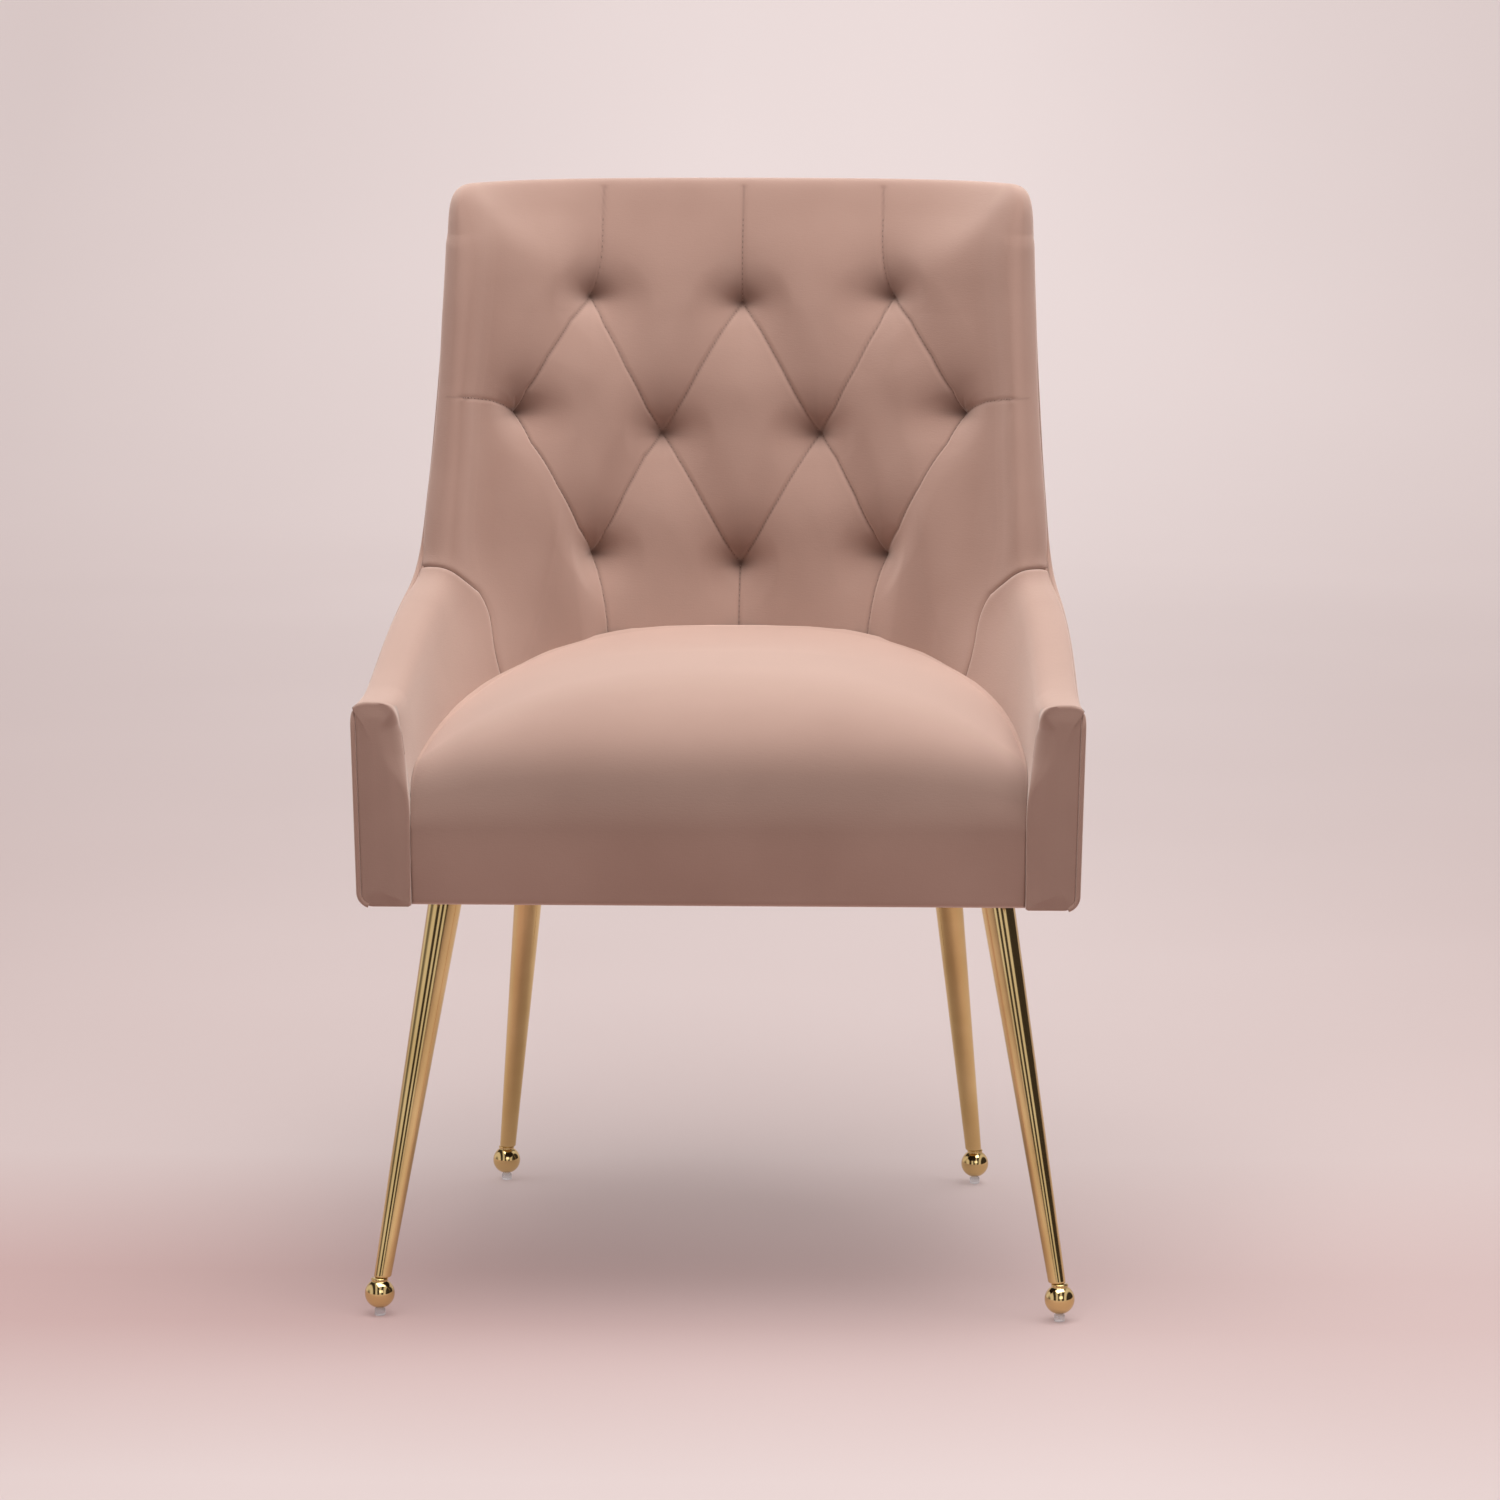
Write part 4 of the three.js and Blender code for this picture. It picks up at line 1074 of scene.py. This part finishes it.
def make_dust_sheet():
    """Thin black cloth under the seat, cut round the legs and a little slack between its staples."""
    z0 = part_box("dust_cover")[0].z / MM
    c = np.linspace(HALF_WALK - 15, 15 - HALF_WALK, 240)
    rim = in_wall(c, z0, BOARD + 1.4)[:, :2]
    rim[:, 1] = np.clip(rim[:, 1], 17, None)
    front = mix(rim[-1], rim[0], np.linspace(0, 1, 82)[1:-1, None])
    outline = np.concatenate([rim, front])
    turn = np.arange(40) * 2 * np.pi / 40
    ring = LEG_HOLE * np.column_stack([np.cos(turn), np.sin(turn)])
    centres = [np.array([side * x, y]) for side in (-1, 1) for x, y in LEG_TOPS]
    holes = [centre + ring for centre in centres]
    loops = [outline] + holes
    edges = []
    for loop in loops:
        start = len(edges)
        edges += [(start + k, start + (k + 1) % len(loop)) for k in range(len(loop))]

    def outside_holes(at, radius):
        return all(np.hypot(*(at - centre)) > radius for centre in centres)

    def clear_of_edges(at):
        return min(np.hypot(*(loop - at).T).min() for loop in loops) > 5 and outside_holes(at, LEG_HOLE)

    grid = [np.array([x, y]) for x in np.arange(-270, 271, DUST_GRID) for y in np.arange(20, 500, DUST_GRID)]
    coords = [Vector(at) for loop in loops for at in loop] + [Vector(at) for at in grid if clear_of_edges(at)]
    found = delaunay_2d_cdt(coords, edges, [], 1, 1e-4)
    at = np.array([list(v) for v in found[0]])
    triangles = [f for f in found[2] if outside_holes(at[list(f)].mean(axis=0), LEG_HOLE - 0.6)]
    near_rim = np.array([np.hypot(*(outline - point).T).min() for point in at])
    slack = smooth(near_rim / 60)
    around = np.arctan2(at[:, 1] - 240, at[:, 0])
    z = z0 + 0.8 - 0.7 * slack + 0.12 * np.sin(34 * around) * (1 - slack)
    points = np.concatenate([np.column_stack([at, z]), np.column_stack([at, z + DUST_THICK])])
    count = len(at)
    faces = [list(f)[::-1] for f in triangles] + [[count + k for k in f] for f in triangles]
    sides = dict.fromkeys((a, b) for f in triangles for a, b in zip(f, f[1:] + f[:1]))
    faces += [[a, b, count + b, count + a] for a, b in sides if (b, a) not in sides]
    piece = mesh_piece("dust_sheet", points, faces, DUST_CLOTH, "dust_cloth", ["dust_cover"])


# ---- Legs ----
def lathe(profile, sides, centre_line):
    """Points and faces of a turned shape: profile rows are (radius, z), closed on the axis."""
    turn = np.arange(sides) * 2 * np.pi / sides
    c, s = np.cos(turn), np.sin(turn)
    rings = []
    for radius, z in profile:
        x, y = centre_line(z)
        rings.append(np.column_stack([x + radius * c, y + radius * s, np.full(sides, z)]))
    return np.concatenate(rings), ring_faces(len(rings), sides)


LEG_RADII = (7.0, 13.8)  # at the bottom and the top of the tube
LEG_END_ROUND = 1.2
BALL_HEIGHT = 18.0
NECK_RADIUS = 6.4


def make_leg(end, name):
    """A splayed, tapered tube, the ball at its end and the glide, from the sizes of the CAD's own."""
    node = f"{end}_{name}"
    low, high = (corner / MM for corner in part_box(f"leg_{node}"))
    ball_low, ball_high = (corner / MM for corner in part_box(f"ball_foot_{node}"))
    foot = ((ball_low + ball_high) / 2).xy
    ball_radius = (ball_high.x - ball_low.x) / 2
    lean_x = abs(abs(high.x) - abs(low.x)) - sum(LEG_RADII)
    lean_y = high.y - low.y - sum(LEG_RADII)
    lean = Vector((-math.copysign(lean_x, foot.x), lean_y if end == "front" else -lean_y))
    height = high.z - low.z

    def line(z):
        k = (z - BALL_HEIGHT) / height
        return foot.x + lean.x * k, foot.y - FRONT_Y + lean.y * k

    def still(_):
        return foot.x, foot.y - FRONT_Y

    def radius_at(z):
        return mix(*LEG_RADII, (z - low.z) / height)

    def rounded_end(angle):
        z = low.z + LEG_END_ROUND * (1 - math.cos(angle))
        return radius_at(z) - LEG_END_ROUND * (1 - math.sin(angle)), z

    profile = [(radius_at(low.z) - LEG_END_ROUND, low.z)]
    profile += [rounded_end(angle) for angle in np.linspace(0.3, math.pi / 2, 4)]
    profile += [(radius_at(z), z) for z in np.linspace(low.z + 2, high.z, 40)]
    mesh_piece(f"leg_tube_{node}", *lathe(profile, 64, line), GOLD, "gold", [f"leg_{node}"])

    arc = [(ball_radius * math.cos(a), BALL_HEIGHT + ball_radius * math.sin(a))
           for a in np.radians(np.linspace(-66, 56, 40))]
    bead = [(NECK_RADIUS + 0.5 * math.sin(math.pi * k), mix(arc[-1][1] + 0.7, ball_high.z, k))
            for k in np.linspace(0, 1, 7)]
    ball = [(3.6, max(ball_low.z, arc[0][1] - 0.4))] + arc + bead
    mesh_piece(f"ball_{node}", *lathe(ball, 64, still), GOLD, "gold", [f"ball_foot_{node}"])

    glide_low, glide_high = (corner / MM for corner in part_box(f"glide_{node}"))
    r = (glide_high.x - glide_low.x) / 2
    cup = [(r - 1.0, 0.0), (r - 0.35, 0.2), (r, 0.8), (r, 4.6), (r - 0.4, 5.4), (r - 1.4, glide_high.z)]
    mesh_piece(f"glide_cup_{node}", *lathe(cup, 40, still), CLEAR, "clear_plastic", [f"glide_{node}"])


make_back()
for name, sign in SIDES.items():
    make_arm(sign, name)
    make_facing(sign, name)
    make_welt(sign, name)
    for end in ("front", "rear"):
        make_leg(end, name)
make_outside()
make_seat()
make_stitches()
make_dust_sheet()


# ---- Studio ----
def make_studio():
    settings = bpy.context.scene.view_settings
    settings.view_transform = "Standard"
    settings.look = "None"
    wall_y, curve = 8.0, 3.0
    profile = [(-9.0, 0.0)] + [(y, 0.0) for y in np.linspace(-8, wall_y - curve, 12)]
    profile += [(wall_y - curve + curve * math.sin(a), curve * (1 - math.cos(a)))
                for a in np.linspace(0.05, math.pi / 2, 24)]
    profile += [(wall_y, z) for z in (2.4, 3.2, 4.5)]
    across = np.linspace(-9, 9, 19)
    points = [(x, y, z) for y, z in profile for x in across]
    mesh = bpy.data.meshes.new("studio_sweep")
    mesh.from_pydata(points, [], grid_faces(len(profile), len(across)))
    mesh.shade_smooth()
    n = Nodes("studio_paper")
    split = n.add("ShaderNodeSeparateXYZ")
    n.put(split.inputs[0], n.place)
    x, y = split.outputs["X"], split.outputs["Y"]
    # Painted shade: the paper is darkened towards the sides and towards the front.
    sides = n.between(n.math("ABSOLUTE", x), 0.2, 1.0, (0.3, 1.8))
    nearer = n.between(y, 1.0, 0.35, (1.0, 6.0))
    mottled = n.noise(0.9, 2.0)
    paper = n.between(mottled, (0.445, 0.375, 0.365), (0.475, 0.405, 0.395), (0.3, 0.7))
    paper_with_painted_shade = n.blend(n.math("MULTIPLY", sides, nearer), paper, (0.36, 0.275, 0.265))
    # Painted shadow: a soft, darker and pinker band runs across the floor at the chair, and fades to the
    # right.
    from_shadow_band = n.math("ABSOLUTE", n.between(y, -2.78, 3.22, (-3.0, 3.0)))
    painted_shadow_band = n.math(
        "MULTIPLY", n.between(from_shadow_band, 0.55, 0.0, (0.08, 0.5)), n.between(x, 1.0, 0.3, (-0.2, 1.0)))
    floor = n.blend(painted_shadow_band, paper_with_painted_shade, (0.31, 0.17, 0.16))
    # Painted light: the paper glows a little, more so in the distance and less at the sides.
    far = n.math("MULTIPLY", n.between(y, 0.0, 1.0, (0.8, 6.5)), n.between(sides, 1.0, 0.55))
    painted_glow = n.blend(far, floor, (0.93, 0.83, 0.82))
    n.put(n.shader.inputs["Emission Color"], painted_glow)
    mesh.materials.append(n.finish(floor, 0.9, Specular_IOR_Level=0.1, Emission_Strength=0.66))
    placed_object("studio_sweep", mesh)

    world = bpy.data.worlds.new("soft_room")
    bpy.context.scene.world = world
    world.use_nodes = True
    tree = world.node_tree
    background = tree.nodes["Background"]
    background.inputs["Strength"].default_value = 0.5
    # Tall soft windows between darker walls, for the plating to mirror.
    around = tree.nodes.new("ShaderNodeTexCoord")
    windows = tree.nodes.new("ShaderNodeTexWave")
    windows.bands_direction = "X"
    windows.inputs["Scale"].default_value = 0.62
    windows.inputs["Phase Offset"].default_value = 1.2
    walls = tree.nodes.new("ShaderNodeValToRGB")
    set_ramp(walls.color_ramp, (0.35, 0.75), ((0.10, 0.085, 0.08), (1.6, 1.52, 1.5)))
    tree.links.new(around.outputs["Generated"], windows.inputs["Vector"])
    tree.links.new(windows.outputs["Fac"], walls.inputs["Fac"])
    tree.links.new(walls.outputs["Color"], background.inputs["Color"])

    def area(name, place, target, size, power):
        data = bpy.data.lights.new(name, "AREA")
        data.shape = "RECTANGLE"
        data.size, data.size_y = size
        data.energy = power
        light = placed_object(name, data)
        light.location = place
        light.rotation_euler = (Vector(target) - Vector(place)).to_track_quat("-Z", "Y").to_euler()

    area("overhead", (0.3, -0.5, 3.2), (0, 0.1, 0.4), (3.0, 2.2), 97)
    area("front_fill", (1.0, -4.2, 1.9), (0, 0, 0.6), (2.2, 1.6), 15)


make_studio()
